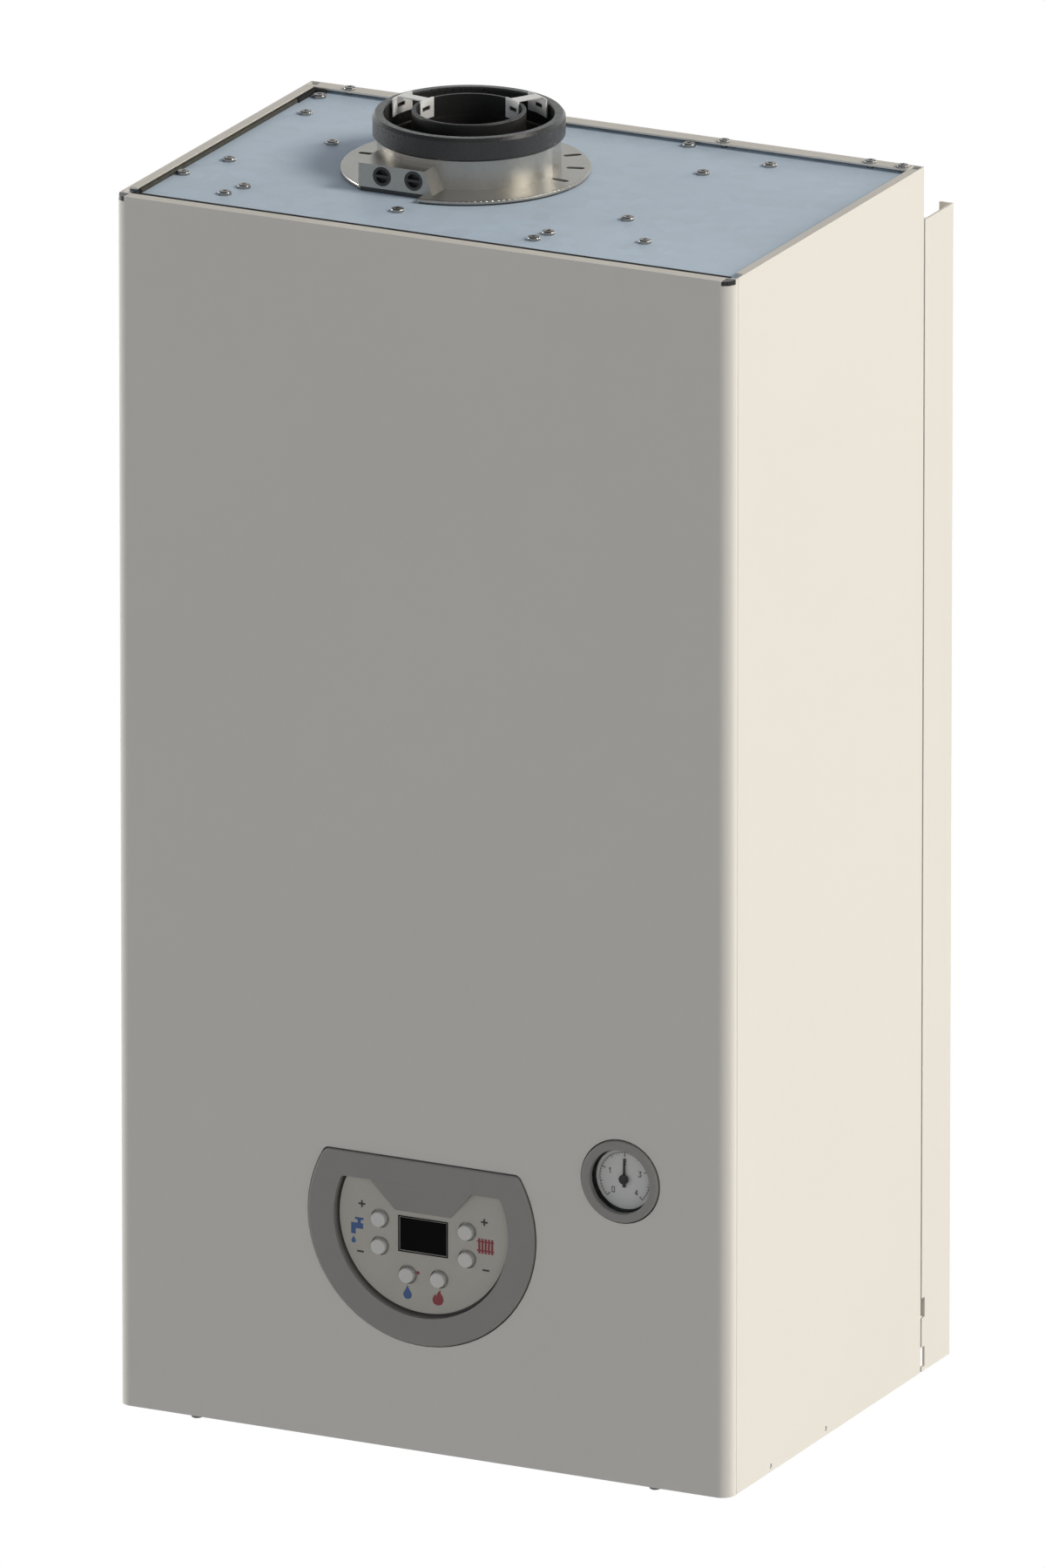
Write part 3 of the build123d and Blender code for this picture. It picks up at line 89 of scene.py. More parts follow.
def w_range(value, lo, hi, to_lo, to_hi, smooth=True):
    r = wn.new("ShaderNodeMapRange")
    if smooth:
        r.interpolation_type = "SMOOTHSTEP"
    r.inputs["From Min"].default_value = lo
    r.inputs["From Max"].default_value = hi
    r.inputs["To Min"].default_value = to_lo
    r.inputs["To Max"].default_value = to_hi
    wl.new(value, r.inputs["Value"])
    return r.outputs["Result"]


w_out = wn.new("ShaderNodeOutputWorld")
w_light = wn.new("ShaderNodeBackground")
w_seen = wn.new("ShaderNodeBackground")
w_mix = wn.new("ShaderNodeMixShader")
w_path = wn.new("ShaderNodeLightPath")
w_geo = wn.new("ShaderNodeTexCoord")
w_sep = wn.new("ShaderNodeSeparateXYZ")
w_ramp = wn.new("ShaderNodeValToRGB")
wl.new(w_geo.outputs["Generated"], w_sep.inputs[0])
wl.new(w_range(w_sep.outputs["Z"], -1.0, 1.0, 0.0, 1.0, False), w_ramp.inputs["Fac"])
w_ramp.color_ramp.elements[0].position = 0.0
w_ramp.color_ramp.elements[0].color = (0.24, 0.245, 0.25, 1)
w_ramp.color_ramp.elements[1].position = 1.0
w_ramp.color_ramp.elements[1].color = (0.075, 0.08, 0.09, 1)
mid = w_ramp.color_ramp.elements.new(0.5)
mid.color = (0.43, 0.445, 0.472, 1)
top_mid = w_ramp.color_ramp.elements.new(0.75)
top_mid.color = (0.13, 0.138, 0.152, 1)

# backdrop: rises from the sides to the back, and fades out overhead
w_abs = wn.new("ShaderNodeMath")
w_abs.operation = "ABSOLUTE"
wl.new(w_sep.outputs["Z"], w_abs.inputs[0])
w_behind = wn.new("ShaderNodeMath")
w_behind.operation = "MULTIPLY"
wl.new(w_range(w_sep.outputs["Y"], 0.05, 0.35, 0.0, 1.0), w_behind.inputs[0])
wl.new(w_range(w_abs.outputs[0], 0.26, 0.52, 1.0, 0.0), w_behind.inputs[1])
w_col = wn.new("ShaderNodeMix")
w_col.data_type = "RGBA"
wl.new(w_behind.outputs[0], w_col.inputs["Factor"])
w_socks = [i for i in w_col.inputs if i.type == "RGBA"]
wl.new(w_ramp.outputs["Color"], w_socks[0])
w_socks[1].default_value = (0.98, 1.0, 1.0, 1)
# soft panel in front, above eye level
w_back = wn.new("ShaderNodeMath")
w_back.operation = "MULTIPLY"
w_back.inputs[1].default_value = -1.0
wl.new(w_sep.outputs["Y"], w_back.inputs[0])
w_low = wn.new("ShaderNodeMath")
w_low.operation = "MULTIPLY"
wl.new(w_range(w_back.outputs[0], 0.15, 0.60, 0.0, 1.0), w_low.inputs[0])
wl.new(w_range(w_sep.outputs["Z"], -0.06, 0.04, 0.0, 1.0), w_low.inputs[1])
w_front = wn.new("ShaderNodeMath")
w_front.operation = "MULTIPLY"
wl.new(w_low.outputs[0], w_front.inputs[0])
wl.new(w_range(w_sep.outputs["Z"], 0.25, 0.55, 1.0, 0.0), w_front.inputs[1])
w_col2 = wn.new("ShaderNodeMix")
w_col2.data_type = "RGBA"
wl.new(w_front.outputs[0], w_col2.inputs["Factor"])
w_socks2 = [i for i in w_col2.inputs if i.type == "RGBA"]
wl.new([o for o in w_col.outputs if o.type == "RGBA"][0], w_socks2[0])
w_socks2[1].default_value = (0.765, 0.785, 0.83, 1)
wl.new([o for o in w_col2.outputs if o.type == "RGBA"][0], w_light.inputs["Color"])
w_light.inputs["Strength"].default_value = 1.0
w_seen.inputs["Color"].default_value = (1, 1, 1, 1)
w_seen.inputs["Strength"].default_value = 1.0
wl.new(w_path.outputs["Is Camera Ray"], w_mix.inputs["Fac"])
wl.new(w_light.outputs[0], w_mix.inputs[1])
wl.new(w_seen.outputs[0], w_mix.inputs[2])
wl.new(w_mix.outputs[0], w_out.inputs["Surface"])

# name, energy, colour, angular size, azimuth from +X towards +Y, elevation
for tag, energy, colour, size, azim, elev in (
        ("key", 1.60, (1.0, 0.945, 0.855), 20.0, 8.0, 35.0),
        ("low", 0.16, (1.0, 0.94, 0.83), 30.0, 4.0, 7.0),
        ("rim", 1.00, (1.0, 0.95, 0.88), 9.0, 55.0, 6.0),
        ("left_graze", 1.45, (1.0, 0.97, 0.92), 12.0, 177.0, 2.6)):
    sun_data = bpy.data.lights.new(tag, "SUN")
    sun_data.energy = energy
    sun_data.color = colour
    sun_data.angle = math.radians(size)
    sun = bpy.data.objects.new(tag, sun_data)
    scene.collection.objects.link(sun)
    sa, se = math.radians(azim), math.radians(elev)
    sun_dir = Vector((math.cos(sa) * math.cos(se), math.sin(sa) * math.cos(se), math.sin(se)))
    sun.rotation_euler = sun_dir.to_track_quat("Z", "Y").to_euler()

# large soft panel on the left, below the level of the top plate
left_data = bpy.data.lights.new("left_panel", "AREA")
left_data.shape = "RECTANGLE"
left_data.size = 3.2
left_data.size_y = 1.5
left_data.energy = 14.0
left_data.color = (0.95, 0.98, 1.0)
left_panel = bpy.data.objects.new("left_panel", left_data)
left_panel.location = (-2.4, 1.2, -0.95)
left_panel.rotation_euler = Vector((-1.0, 0.0, 0.0)).to_track_quat("Z", "Y").to_euler()
left_panel.visible_camera = False
scene.collection.objects.link(left_panel)

# ------------------------------------------------------------------
# Floor
# ------------------------------------------------------------------
me = bpy.data.meshes.new("floor")
FLOOR_Z = -1.9
bm = bmesh.new()
bmesh.ops.create_grid(bm, x_segments=8, y_segments=8, size=9.0)
bm.to_mesh(me)
bm.free()
floor = bpy.data.objects.new("floor", me)
floor.location = (0, 0, FLOOR_Z)
scene.collection.objects.link(floor)
fm = bpy.data.materials.new("floor_pale")
fm.use_nodes = True
fn, fl = fm.node_tree.nodes, fm.node_tree.links
fn.clear()
f_out = fn.new("ShaderNodeOutputMaterial")
f_mix = fn.new("ShaderNodeMixShader")
f_path = fn.new("ShaderNodeLightPath")
f_em = fn.new("ShaderNodeEmission")
f_em.inputs["Color"].default_value = (1, 1, 1, 1)
f_em.inputs["Strength"].default_value = 1.0
f_di = fn.new("ShaderNodeBsdfDiffuse")
f_no = fn.new("ShaderNodeTexNoise")
f_no.inputs["Scale"].default_value = 3.0
f_ra = fn.new("ShaderNodeValToRGB")
f_ra.color_ramp.elements[0].color = (0.50, 0.50, 0.50, 1)
f_ra.color_ramp.elements[1].color = (0.54, 0.54, 0.54, 1)
fl.new(f_no.outputs["Fac"], f_ra.inputs["Fac"])
fl.new(f_ra.outputs["Color"], f_di.inputs["Color"])
fl.new(f_path.outputs["Is Camera Ray"], f_mix.inputs["Fac"])
fl.new(f_di.outputs[0], f_mix.inputs[1])
fl.new(f_em.outputs[0], f_mix.inputs[2])
fl.new(f_mix.outputs[0], f_out.inputs["Surface"])
me.materials.append(fm)


# ------------------------------------------------------------------
# Materials
# ------------------------------------------------------------------
def new_mat(name):
    m = bpy.data.materials.new(name)
    m.use_nodes = True
    n, l = m.node_tree.nodes, m.node_tree.links
    n.clear()
    out = n.new("ShaderNodeOutputMaterial")
    p = n.new("ShaderNodeBsdfPrincipled")
    l.new(p.outputs[0], out.inputs["Surface"])
    tc = n.new("ShaderNodeTexCoord")
    return m, n, l, p, tc


def noise(n, l, tc, scale, detail=3.0, rough=0.55, vec=None, stretch=None):
    t = n.new("ShaderNodeTexNoise")
    t.inputs["Scale"].default_value = scale
    t.inputs["Detail"].default_value = detail
    t.inputs["Roughness"].default_value = rough
    src = vec if vec is not None else tc.outputs["Object"]
    if stretch:
        mp = n.new("ShaderNodeMapping")
        mp.inputs["Scale"].default_value = stretch
        l.new(src, mp.inputs["Vector"])
        src = mp.outputs["Vector"]
    l.new(src, t.inputs["Vector"])
    return t.outputs["Fac"]


def ramp(n, l, fac, stops):
    r = n.new("ShaderNodeValToRGB")
    els = r.color_ramp.elements
    while len(els) > 1:
        els.remove(els[-1])
    els[0].position = stops[0][0]
    els[0].color = (*stops[0][1], 1)
    for pos, col in stops[1:]:
        e = els.new(pos)
        e.color = (*col, 1)
    l.new(fac, r.inputs["Fac"])
    return r.outputs["Color"]


def span_value(n, l, fac, lo, hi, from_lo=0.3, from_hi=0.7):
    r = n.new("ShaderNodeMapRange")
    r.inputs["From Min"].default_value = from_lo
    r.inputs["From Max"].default_value = from_hi
    r.inputs["To Min"].default_value = lo
    r.inputs["To Max"].default_value = hi
    l.new(fac, r.inputs["Value"])
    return r.outputs["Result"]


def bump(n, l, p, height, strength, distance):
    b = n.new("ShaderNodeBump")
    b.inputs["Strength"].default_value = strength
    b.inputs["Distance"].default_value = distance
    l.new(height, b.inputs["Height"])
    l.new(b.outputs["Normal"], p.inputs["Normal"])
    return b


def mix_col(n, l, fac, a, b, mode="MIX"):
    m = n.new("ShaderNodeMix")
    m.data_type = "RGBA"
    m.blend_type = mode
    if isinstance(fac, float):
        m.inputs["Factor"].default_value = fac
    else:
        l.new(fac, m.inputs["Factor"])
    for sock, v in (("A", a), ("B", b)):
        s = [i for i in m.inputs if i.name == sock and i.type == "RGBA"][0]
        if isinstance(v, tuple):
            s.default_value = (*v, 1)
        else:
            l.new(v, s)
    return [o for o in m.outputs if o.type == "RGBA"][0]


def tint(col, k):
    return tuple(max(0.0, min(1.0, c * k)) for c in col)


def painted(name, col, rough=0.52, peel=0.10, spec=0.22):
    """Powder coat: faint mottling, fine orange peel, a touch of dirt-free wear in roughness."""
    m, n, l, p, tc = new_mat(name)
    big = noise(n, l, tc, 6.0, 2.0)
    l.new(ramp(n, l, big, [(0.3, tint(col, 0.992)), (0.7, tint(col, 1.006))]), p.inputs["Base Color"])
    fine = noise(n, l, tc, 1100.0, 2.0, 0.5)
    l.new(span_value(n, l, fine, rough - 0.03, rough + 0.03), p.inputs["Roughness"])
    bump(n, l, p, fine, peel, 0.00012)
    p.inputs["IOR"].default_value = 1.45
    p.inputs["Specular IOR Level"].default_value = spec
    return m


def plastic(name, col, rough=0.5, grain=900.0, depth=0.25, var=0.03, spec=0.4):
    """Moulded plastic with a fine spark-eroded grain."""
    m, n, l, p, tc = new_mat(name)
    g = noise(n, l, tc, grain, 3.0, 0.6)
    big = noise(n, l, tc, 25.0, 2.0)
    c = ramp(n, l, g, [(0.35, tint(col, 1 - var)), (0.65, tint(col, 1 + var))])
    c2 = ramp(n, l, big, [(0.3, (0.97, 0.97, 0.97)), (0.7, (1, 1, 1))])
    l.new(mix_col(n, l, 1.0, c, c2, "MULTIPLY"), p.inputs["Base Color"])
    l.new(span_value(n, l, g, rough - 0.05, rough + 0.06), p.inputs["Roughness"])
    bump(n, l, p, g, depth, 0.0001)
    p.inputs["Specular IOR Level"].default_value = spec
    return m


def metal(name, col, rough=0.35, grain=60.0, stretch=None, metallic=1.0, var=0.06, bumpy=0.05, dist=0.0001, swing=1.0):
    m, n, l, p, tc = new_mat(name)
    p.inputs["Metallic"].default_value = metallic
    g = noise(n, l, tc, grain, 4.0, 0.6, stretch=stretch)
    l.new(ramp(n, l, g, [(0.3, tint(col, 1 - var)), (0.7, tint(col, 1 + var))]), p.inputs["Base Color"])
    l.new(span_value(n, l, g, rough - 0.06 * swing, rough + 0.08 * swing), p.inputs["Roughness"])
    bump(n, l, p, g, bumpy, dist)
    return m


def galvanised(name, col, rough=0.36, metallic=0.85, spec=0.5):
    """Hot-dip zinc: large soft spangle cells over a fine grain."""
    m, n, l, p, tc = new_mat(name)
    p.inputs["Metallic"].default_value = metallic
    v = n.new("ShaderNodeTexVoronoi")
    v.inputs["Scale"].default_value = 95.0
    v.inputs["Randomness"].default_value = 1.0
    wob = n.new("ShaderNodeTexNoise")
    wob.inputs["Scale"].default_value = 40.0
    wob.inputs["Detail"].default_value = 3.0
    l.new(tc.outputs["Object"], wob.inputs["Vector"])
    add = n.new("ShaderNodeVectorMath")
    add.operation = "MULTIPLY_ADD"
    l.new(wob.outputs["Color"], add.inputs[0])
    add.inputs[1].default_value = (0.012, 0.012, 0.012)
    l.new(tc.outputs["Object"], add.inputs[2])
    l.new(add.outputs["Vector"], v.inputs["Vector"])
    sep = n.new("ShaderNodeSeparateColor")
    l.new(v.outputs["Color"], sep.inputs[0])
    cell = sep.outputs[0]
    base = ramp(n, l, cell, [(0.0, tint(col, 0.965)), (0.5, col), (1.0, tint(col, 1.03))])
    fine = noise(n, l, tc, 700.0, 3.0)
    f2 = ramp(n, l, fine, [(0.3, (0.97, 0.97, 0.97)), (0.7, (1, 1, 1))])
    l.new(mix_col(n, l, 1.0, base, f2, "MULTIPLY"), p.inputs["Base Color"])
    l.new(span_value(n, l, cell, rough - 0.03, rough + 0.05, 0.0, 1.0), p.inputs["Roughness"])
    p.inputs["Specular IOR Level"].default_value = spec
    bump(n, l, p, fine, 0.05, 0.00005)
    return m


def cast(name, col, rough=0.48, metallic=0.75):
    """Die-cast aluminium: satin skin with fine pitting and slight flow marks."""
    m, n, l, p, tc = new_mat(name)
    p.inputs["Metallic"].default_value = metallic
    a = noise(n, l, tc, 420.0, 3.0, 0.5)
    b = noise(n, l, tc, 30.0, 3.0)
    c1 = ramp(n, l, a, [(0.3, tint(col, 0.95)), (0.65, tint(col, 1.03))])
    c2 = ramp(n, l, b, [(0.3, (0.93, 0.93, 0.93)), (0.7, (1, 1, 1))])
    l.new(mix_col(n, l, 1.0, c1, c2, "MULTIPLY"), p.inputs["Base Color"])
    l.new(span_value(n, l, a, rough - 0.03, rough + 0.05), p.inputs["Roughness"])
    bump(n, l, p, a, 0.10, 0.0002)
    return m


def rubber(name, col, rough=0.42, spec=0.5):
    m, n, l, p, tc = new_mat(name)
    a = noise(n, l, tc, 520.0, 3.0)
    b = noise(n, l, tc, 35.0, 2.0)
    c1 = ramp(n, l, b, [(0.3, tint(col, 0.85)), (0.7, tint(col, 1.15))])
    l.new(c1, p.inputs["Base Color"])
    l.new(span_value(n, l, a, rough - 0.06, rough + 0.08), p.inputs["Roughness"])
    bump(n, l, p, a, 0.15, 0.0001)
    p.inputs["Specular IOR Level"].default_value = spec
    return m


PAINT = (0.815, 0.785, 0.725)
M = {}
M["casing_paint"] = painted("casing_paint", PAINT)
M["frame_paint"] = painted("frame_paint", tint(PAINT, 0.995))
M["galvanised"] = galvanised("galvanised", (0.665, 0.795, 0.935), 0.42, 0.0, 0.08)
M["screw_zinc"] = metal("screw_zinc", (0.36, 0.355, 0.34), 0.30, 300.0)
M["cast_aluminium"] = cast("cast_aluminium", (0.47, 0.455, 0.42), 0.31, 0.90)
M["black_rubber"] = rubber("black_rubber", (0.032, 0.032, 0.032), 0.30, 0.6)
M["black_plastic"] = plastic("black_plastic", (0.018, 0.018, 0.018), 0.40, 700.0, 0.15)
M["spring_steel"] = metal("spring_steel", (0.95, 0.95, 0.93), 0.34, 120.0, (1, 1, 12), 0.15)
M["bezel_grey"] = plastic("bezel_grey", (0.355, 0.341, 0.318), 0.55, 1100.0, 0.3)
M["keyplate_grey"] = plastic("keyplate_grey", (0.585, 0.555, 0.485), 0.5, 900.0, 0.08, 0.015)
M["key_grey"] = plastic("key_grey", (0.80, 0.785, 0.74), 0.45, 900.0, 0.1, 0.015)
M["display_black"] = plastic("display_black", (0.004, 0.004, 0.005), 0.14, 400.0, 0.0, 0.0, 0.08)
M["dial_face"] = plastic("dial_face", (0.82, 0.81, 0.775), 0.5, 600.0, 0.05, 0.01)
M["needle_black"] = plastic("needle_black", (0.05, 0.05, 0.05), 0.4, 600.0, 0.05)
M["box_grey"] = plastic("box_grey", (0.20, 0.205, 0.21), 0.55, 900.0, 0.3)
M["circuit_board"] = plastic("circuit_board", (0.03, 0.16, 0.07), 0.4, 500.0, 0.1, 0.08)
M["stainless"] = metal("stainless", (0.66, 0.65, 0.63), 0.34, 90.0, (1, 14, 1), var=0.03, swing=0.35)
M["electrode_ceramic"] = plastic("electrode_ceramic", (0.86, 0.84, 0.78), 0.2, 500.0, 0.02)
M["copper"] = metal("copper", (0.84, 0.46, 0.29), 0.34, 60.0, (1, 1, 4), var=0.05, swing=0.35)
M["brass"] = metal("brass", (0.80, 0.62, 0.32), 0.30, 90.0, var=0.04, swing=0.5)
M["grey_composite"] = plastic("grey_composite", (0.045, 0.046, 0.05), 0.5, 500.0, 0.3, 0.08)
M["trap_grey"] = plastic("trap_grey", (0.36, 0.37, 0.38), 0.45, 600.0, 0.1)
M["motor_black"] = painted("motor_black", (0.02, 0.02, 0.022), 0.4, 0.3)
M["knob_red"] = plastic("knob_red", (0.52, 0.025, 0.02), 0.4, 700.0, 0.1)
M["knob_blue"] = plastic("knob_blue", (0.02, 0.07, 0.36), 0.4, 700.0, 0.1)
M["vessel_red"] = painted("vessel_red", (0.42, 0.02, 0.018), 0.32, 0.15)

lens_m, ln, ll, lp, ltc = new_mat("lens_clear")
lp.inputs["Base Color"].default_value = (1, 1, 1, 1)
lp.inputs["Transmission Weight"].default_value = 1.0
lp.inputs["IOR"].default_value = 1.08
lp.inputs["Specular IOR Level"].default_value = 0.3
lp.inputs["Alpha"].default_value = 0.25
smudge = noise(ln, ll, ltc, 120.0, 3.0)
ll.new(span_value(ln, ll, smudge, 0.03, 0.08), lp.inputs["Roughness"])
M["lens_clear"] = lens_m

SMOOTH = math.radians(32)


def finish_mesh(me, angle=SMOOTH):
    me.shade_smooth()
    me.set_sharp_from_angle(angle=angle)


def weigh(obj):
    """Large flat faces keep their own normals where they meet small curved ones."""
    w = obj.modifiers.new("normals", "WEIGHTED_NORMAL")
    w.mode = "FACE_AREA"
    w.weight = 60
    w.keep_sharp = True


slot_of = {}
for sp in frame["record"]["subparts"]:
    slot_of[sp["node"]] = sp["material_slot"]
for name, obj in nodes.items():
    obj.data.materials.clear()
    obj.data.materials.append(M[slot_of[name]])
    finish_mesh(obj.data)
    weigh(obj)


# ------------------------------------------------------------------
# Modelling helpers. Lengths in millimetres; the third coordinate is the
# height above the casing's bottom edge.
# ------------------------------------------------------------------
def P(x, y, h):
    return Vector((x / 1000.0, y / 1000.0, (h - 688.0) / 1000.0))


AXES = {
    "x": lambda a, u, v: P(a, u, v),      # u = y, v = h
    "y": lambda a, u, v: P(u, a, v),      # u = x, v = h
    "z": lambda a, u, v: P(u, v, a),      # u = x, v = y
}


class Piece:
    """Closed solids gathered into one mesh."""

    def __init__(self, name, body, slot, mat=None, angle=SMOOTH):
        self.name, self.body, self.slot_name = name, body, slot
        self.mats = [mat or M[slot]]
        self.index = 0
        self.angle = angle
        self.bm = bmesh.new()

    def use(self, mat):
        if mat not in self.mats:
            self.mats.append(mat)
        self.index = self.mats.index(mat)
        return self

    def _ring(self, axis, pts, a):
        return [self.bm.verts.new(AXES[axis](a, u, v)) for u, v in pts]

    def _face(self, vs):
        f = self.bm.faces.new(vs)
        f.material_index = self.index
        return f

    def _skin(self, rings, cap0=True, cap1=True, loop=False):
        faces = []
        n = len(rings[0])
        pairs = list(zip(rings, rings[1:]))
        if loop:
            pairs.append((rings[-1], rings[0]))
        for r0, r1 in pairs:
            if len(r0) == 1 or len(r1) == 1:
                tip, ring = (r0[0], r1) if len(r0) == 1 else (r1[0], r0)
                for i in range(len(ring)):
                    faces.append(self._face([tip, ring[i], ring[(i + 1) % len(ring)]]))
                continue
            for i in range(n):
                j = (i + 1) % n
                faces.append(self._face([r0[i], r0[j], r1[j], r1[i]]))
        if not loop:
            if cap0 and len(rings[0]) > 2:
                faces.append(self._face(list(reversed(rings[0]))))
            if cap1 and len(rings[-1]) > 2:
                faces.append(self._face(list(rings[-1])))
        return faces

    def prism(self, axis, pts, a0, a1, bevel=0.0, segs=2):
        """Outline pts in the plane across axis, from a0 to a1, with rounded end edges."""
        rings = [self._ring(axis, pts, a0), self._ring(axis, pts, a1)]
        faces = self._skin(rings)
        if bevel > 0:
            edges = {e for r in rings for v in r for e in v.link_edges
                     if e.other_vert(v) in r}
            bmesh.ops.bevel(self.bm, geom=list(edges), offset=bevel / 1000.0, segments=segs,
                            profile=0.5, affect="EDGES", clamp_overlap=True, material=self.index)
        return self

    def block(self, x, y, h, bevel=0.0, segs=2):
        """Box with all its edges rounded."""
        pts = [(x[0], y[0]), (x[1], y[0]), (x[1], y[1]), (x[0], y[1])]
        rings = [self._ring("z", pts, h[0]), self._ring("z", pts, h[1])]
        faces = self._skin(rings)
        if bevel > 0:
            edges = {e for f in faces for e in f.edges}
            bmesh.ops.bevel(self.bm, geom=list(edges), offset=bevel / 1000.0, segments=segs,
                            profile=0.5, affect="EDGES", clamp_overlap=True, material=self.index)
        return self

    def lathe(self, axis, centre, prof, segs=32, closed=False, phase=0.0):
        """Turned solid: prof is (radius, along) pairs; closed makes a ring of it."""
        rings = []
        for r, a in prof:
            if r <= 1e-6:
                rings.append([self.bm.verts.new(AXES[axis](a, centre[0], centre[1]))])
            else:
                rings.append(self._ring(axis, [
                    (centre[0] + r * math.cos(phase + 2 * math.pi * i / segs),
                     centre[1] + r * math.sin(phase + 2 * math.pi * i / segs)) for i in range(segs)], a))
        self._skin(rings, loop=closed)
        return self

    def disc(self, axis, centre, r, a0, a1, c=0.3, segs=32):
        """Cylinder from a0 to a1 with a chamfer at the a1 end."""
        s = 1 if a1 > a0 else -1
        return self.lathe(axis, centre, [(r, a0), (r, a1 - s * c), (r - c, a1)], segs)

    def hexagon(self, axis, centre, af, a0, a1, c=0.5, phase=0.0):
        """Hexagon nut or head, a1 is the chamfered end."""
        s = 1 if a1 > a0 else -1
        r = af / 2 / math.cos(math.pi / 6)
        pts = [(centre[0] + r * math.cos(phase + math.pi / 3 * i), centre[1] + r * math.sin(phase + math.pi / 3 * i))
               for i in range(6)]
        small = [(centre[0] + (p[0] - centre[0]) * (1 - c / r), centre[1] + (p[1] - centre[1]) * (1 - c / r)) for p in pts]
        rings = [self._ring(axis, pts, a0), self._ring(axis, pts, a1 - s * c * 0.6), self._ring(axis, small, a1)]
        self._skin(rings)
        return self

    def tube(self, path, r, segs=16, radii=None):
        """Round bar along a path of (x, y, h) points."""
        pts = [P(*p) for p in path]
        rings = []
        t0 = (pts[1] - pts[0]).normalized()
        ref = Vector((0, 0, 1)) if abs(t0.z) < 0.9 else Vector((1, 0, 0))
        nrm = t0.cross(ref).normalized()
        for i, p in enumerate(pts):
            if i == 0:
                t = t0
            elif i == len(pts) - 1:
                t = (pts[i] - pts[i - 1]).normalized()
            else:
                t = ((pts[i] - pts[i - 1]).normalized() + (pts[i + 1] - pts[i]).normalized()).normalized()
            nrm = (nrm - t * nrm.dot(t)).normalized()
            bin_ = t.cross(nrm)
            rr = (radii[i] if radii else r) / 1000.0
            rings.append([self.bm.verts.new(p + (nrm * math.cos(2 * math.pi * k / segs) +
                                                 bin_ * math.sin(2 * math.pi * k / segs)) * rr) for k in range(segs)])
        self._skin(rings)
        return self

    def bolt(self, axis, centre, at, out, af=8.0, head=4.0, washer=0.0, phase=0.0):
        """Flanged hexagon bolt head that stands on a face at 'at' and points 'out' (+1 or -1) along axis."""
        w = washer or af * 0.62
        self.lathe(axis, centre, [(w, at), (w, at + out * 0.7), (w - 0.5, at + out * 1.1)], 28)
        self.hexagon(axis, centre, af, at + out * 1.0, at + out * head, 0.5, phase)
        return self

    def pan(self, axis, centre, at, out, r=3.6, head=2.4):
        """Round screw head with a near-black cross laid on top, painted shade standing in for a cross recess."""
        prof = [(r, at), (r, at + out * head * 0.45), (r * 0.86, at + out * head * 0.82), (r * 0.55, at + out * head)]
        self.lathe(axis, centre, prof, 28)
        arm = r * 0.62
        keep = self.index
        self.use(BLACK_AND_RECESS_SHADE)
        for pts in ([(-arm, -0.35), (arm, -0.35), (arm, 0.35), (-arm, 0.35)],
                    [(-0.35, -arm), (0.35, -arm), (0.35, arm), (-0.35, arm)]):
            self.prism(axis, [(centre[0] + u, centre[1] + v) for u, v in pts],
                       at + out * head * 0.5, at + out * (head + 0.03))
        self.index = keep
        return self

    def done(self):
        bmesh.ops.recalc_face_normals(self.bm, faces=self.bm.faces)
        me = bpy.data.meshes.new(self.name)
        self.bm.to_mesh(me)
        self.bm.free()
        for m in self.mats:
            me.materials.append(m)
        finish_mesh(me, self.angle)
        obj = bpy.data.objects.new(self.name, me)
        scene.collection.objects.link(obj)
        weigh(obj)
        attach(obj, self.body)
        return obj


def arc(cx, cy, r, a0, a1, n):
    return [(cx + r * math.cos(math.radians(a0 + (a1 - a0) * i / n)),
             cy + r * math.sin(math.radians(a0 + (a1 - a0) * i / n))) for i in range(n + 1)]


def rounded(x0, x1, y0, y1, r, n=6):
    return (arc(x1 - r, y0 + r, r, -90, 0, n) + arc(x1 - r, y1 - r, r, 0, 90, n)
            + arc(x0 + r, y1 - r, r, 90, 180, n) + arc(x0 + r, y0 + r, r, 180, 270, n))


# near-black: used for the display frame, the gauge inner wall, and as painted shade for the cross recesses drawn on
# screw heads
BLACK_AND_RECESS_SHADE = plastic("black_and_recess_shade", (0.012, 0.012, 0.012), 0.6, 500.0, 0.0, 0.05, 0.2)
# dark foam for the seal strips: near-black and dark olive colours that are painted shade in the gaps along the top
# plate's edges
FOAM_PAINTED_SHADE = plastic("seal_foam_painted_shade", (0.030, 0.030, 0.031), 0.85, 260.0, 0.8, 0.25, 0.1)
EDGE_FOAM_PAINTED_SHADE = plastic("edge_foam_painted_shade", (0.075, 0.073, 0.062), 0.8, 260.0, 0.6, 0.2, 0.1)
PRINT_RED = plastic("print_red", (0.34, 0.075, 0.085), 0.5, 800.0, 0.05, 0.04)
PRINT_BLUE = plastic("print_blue", (0.085, 0.16, 0.36), 0.5, 800.0, 0.05, 0.04)
PRINT_DARK = plastic("print_dark", (0.075, 0.072, 0.068), 0.5, 800.0, 0.05, 0.04)

# ------------------------------------------------------------------
# Outside of the casing
# ------------------------------------------------------------------
# foam seal between the front panel's top return and the top plate, near-black as painted shade in the gap between them
p = Piece("front_seal_shade_strip", "root", "black_rubber", FOAM_PAINTED_SHADE)
p.block((-194.4, 194.4), (-291.7, -286.7), (735.5, 743.5), 0.6)
p.done()

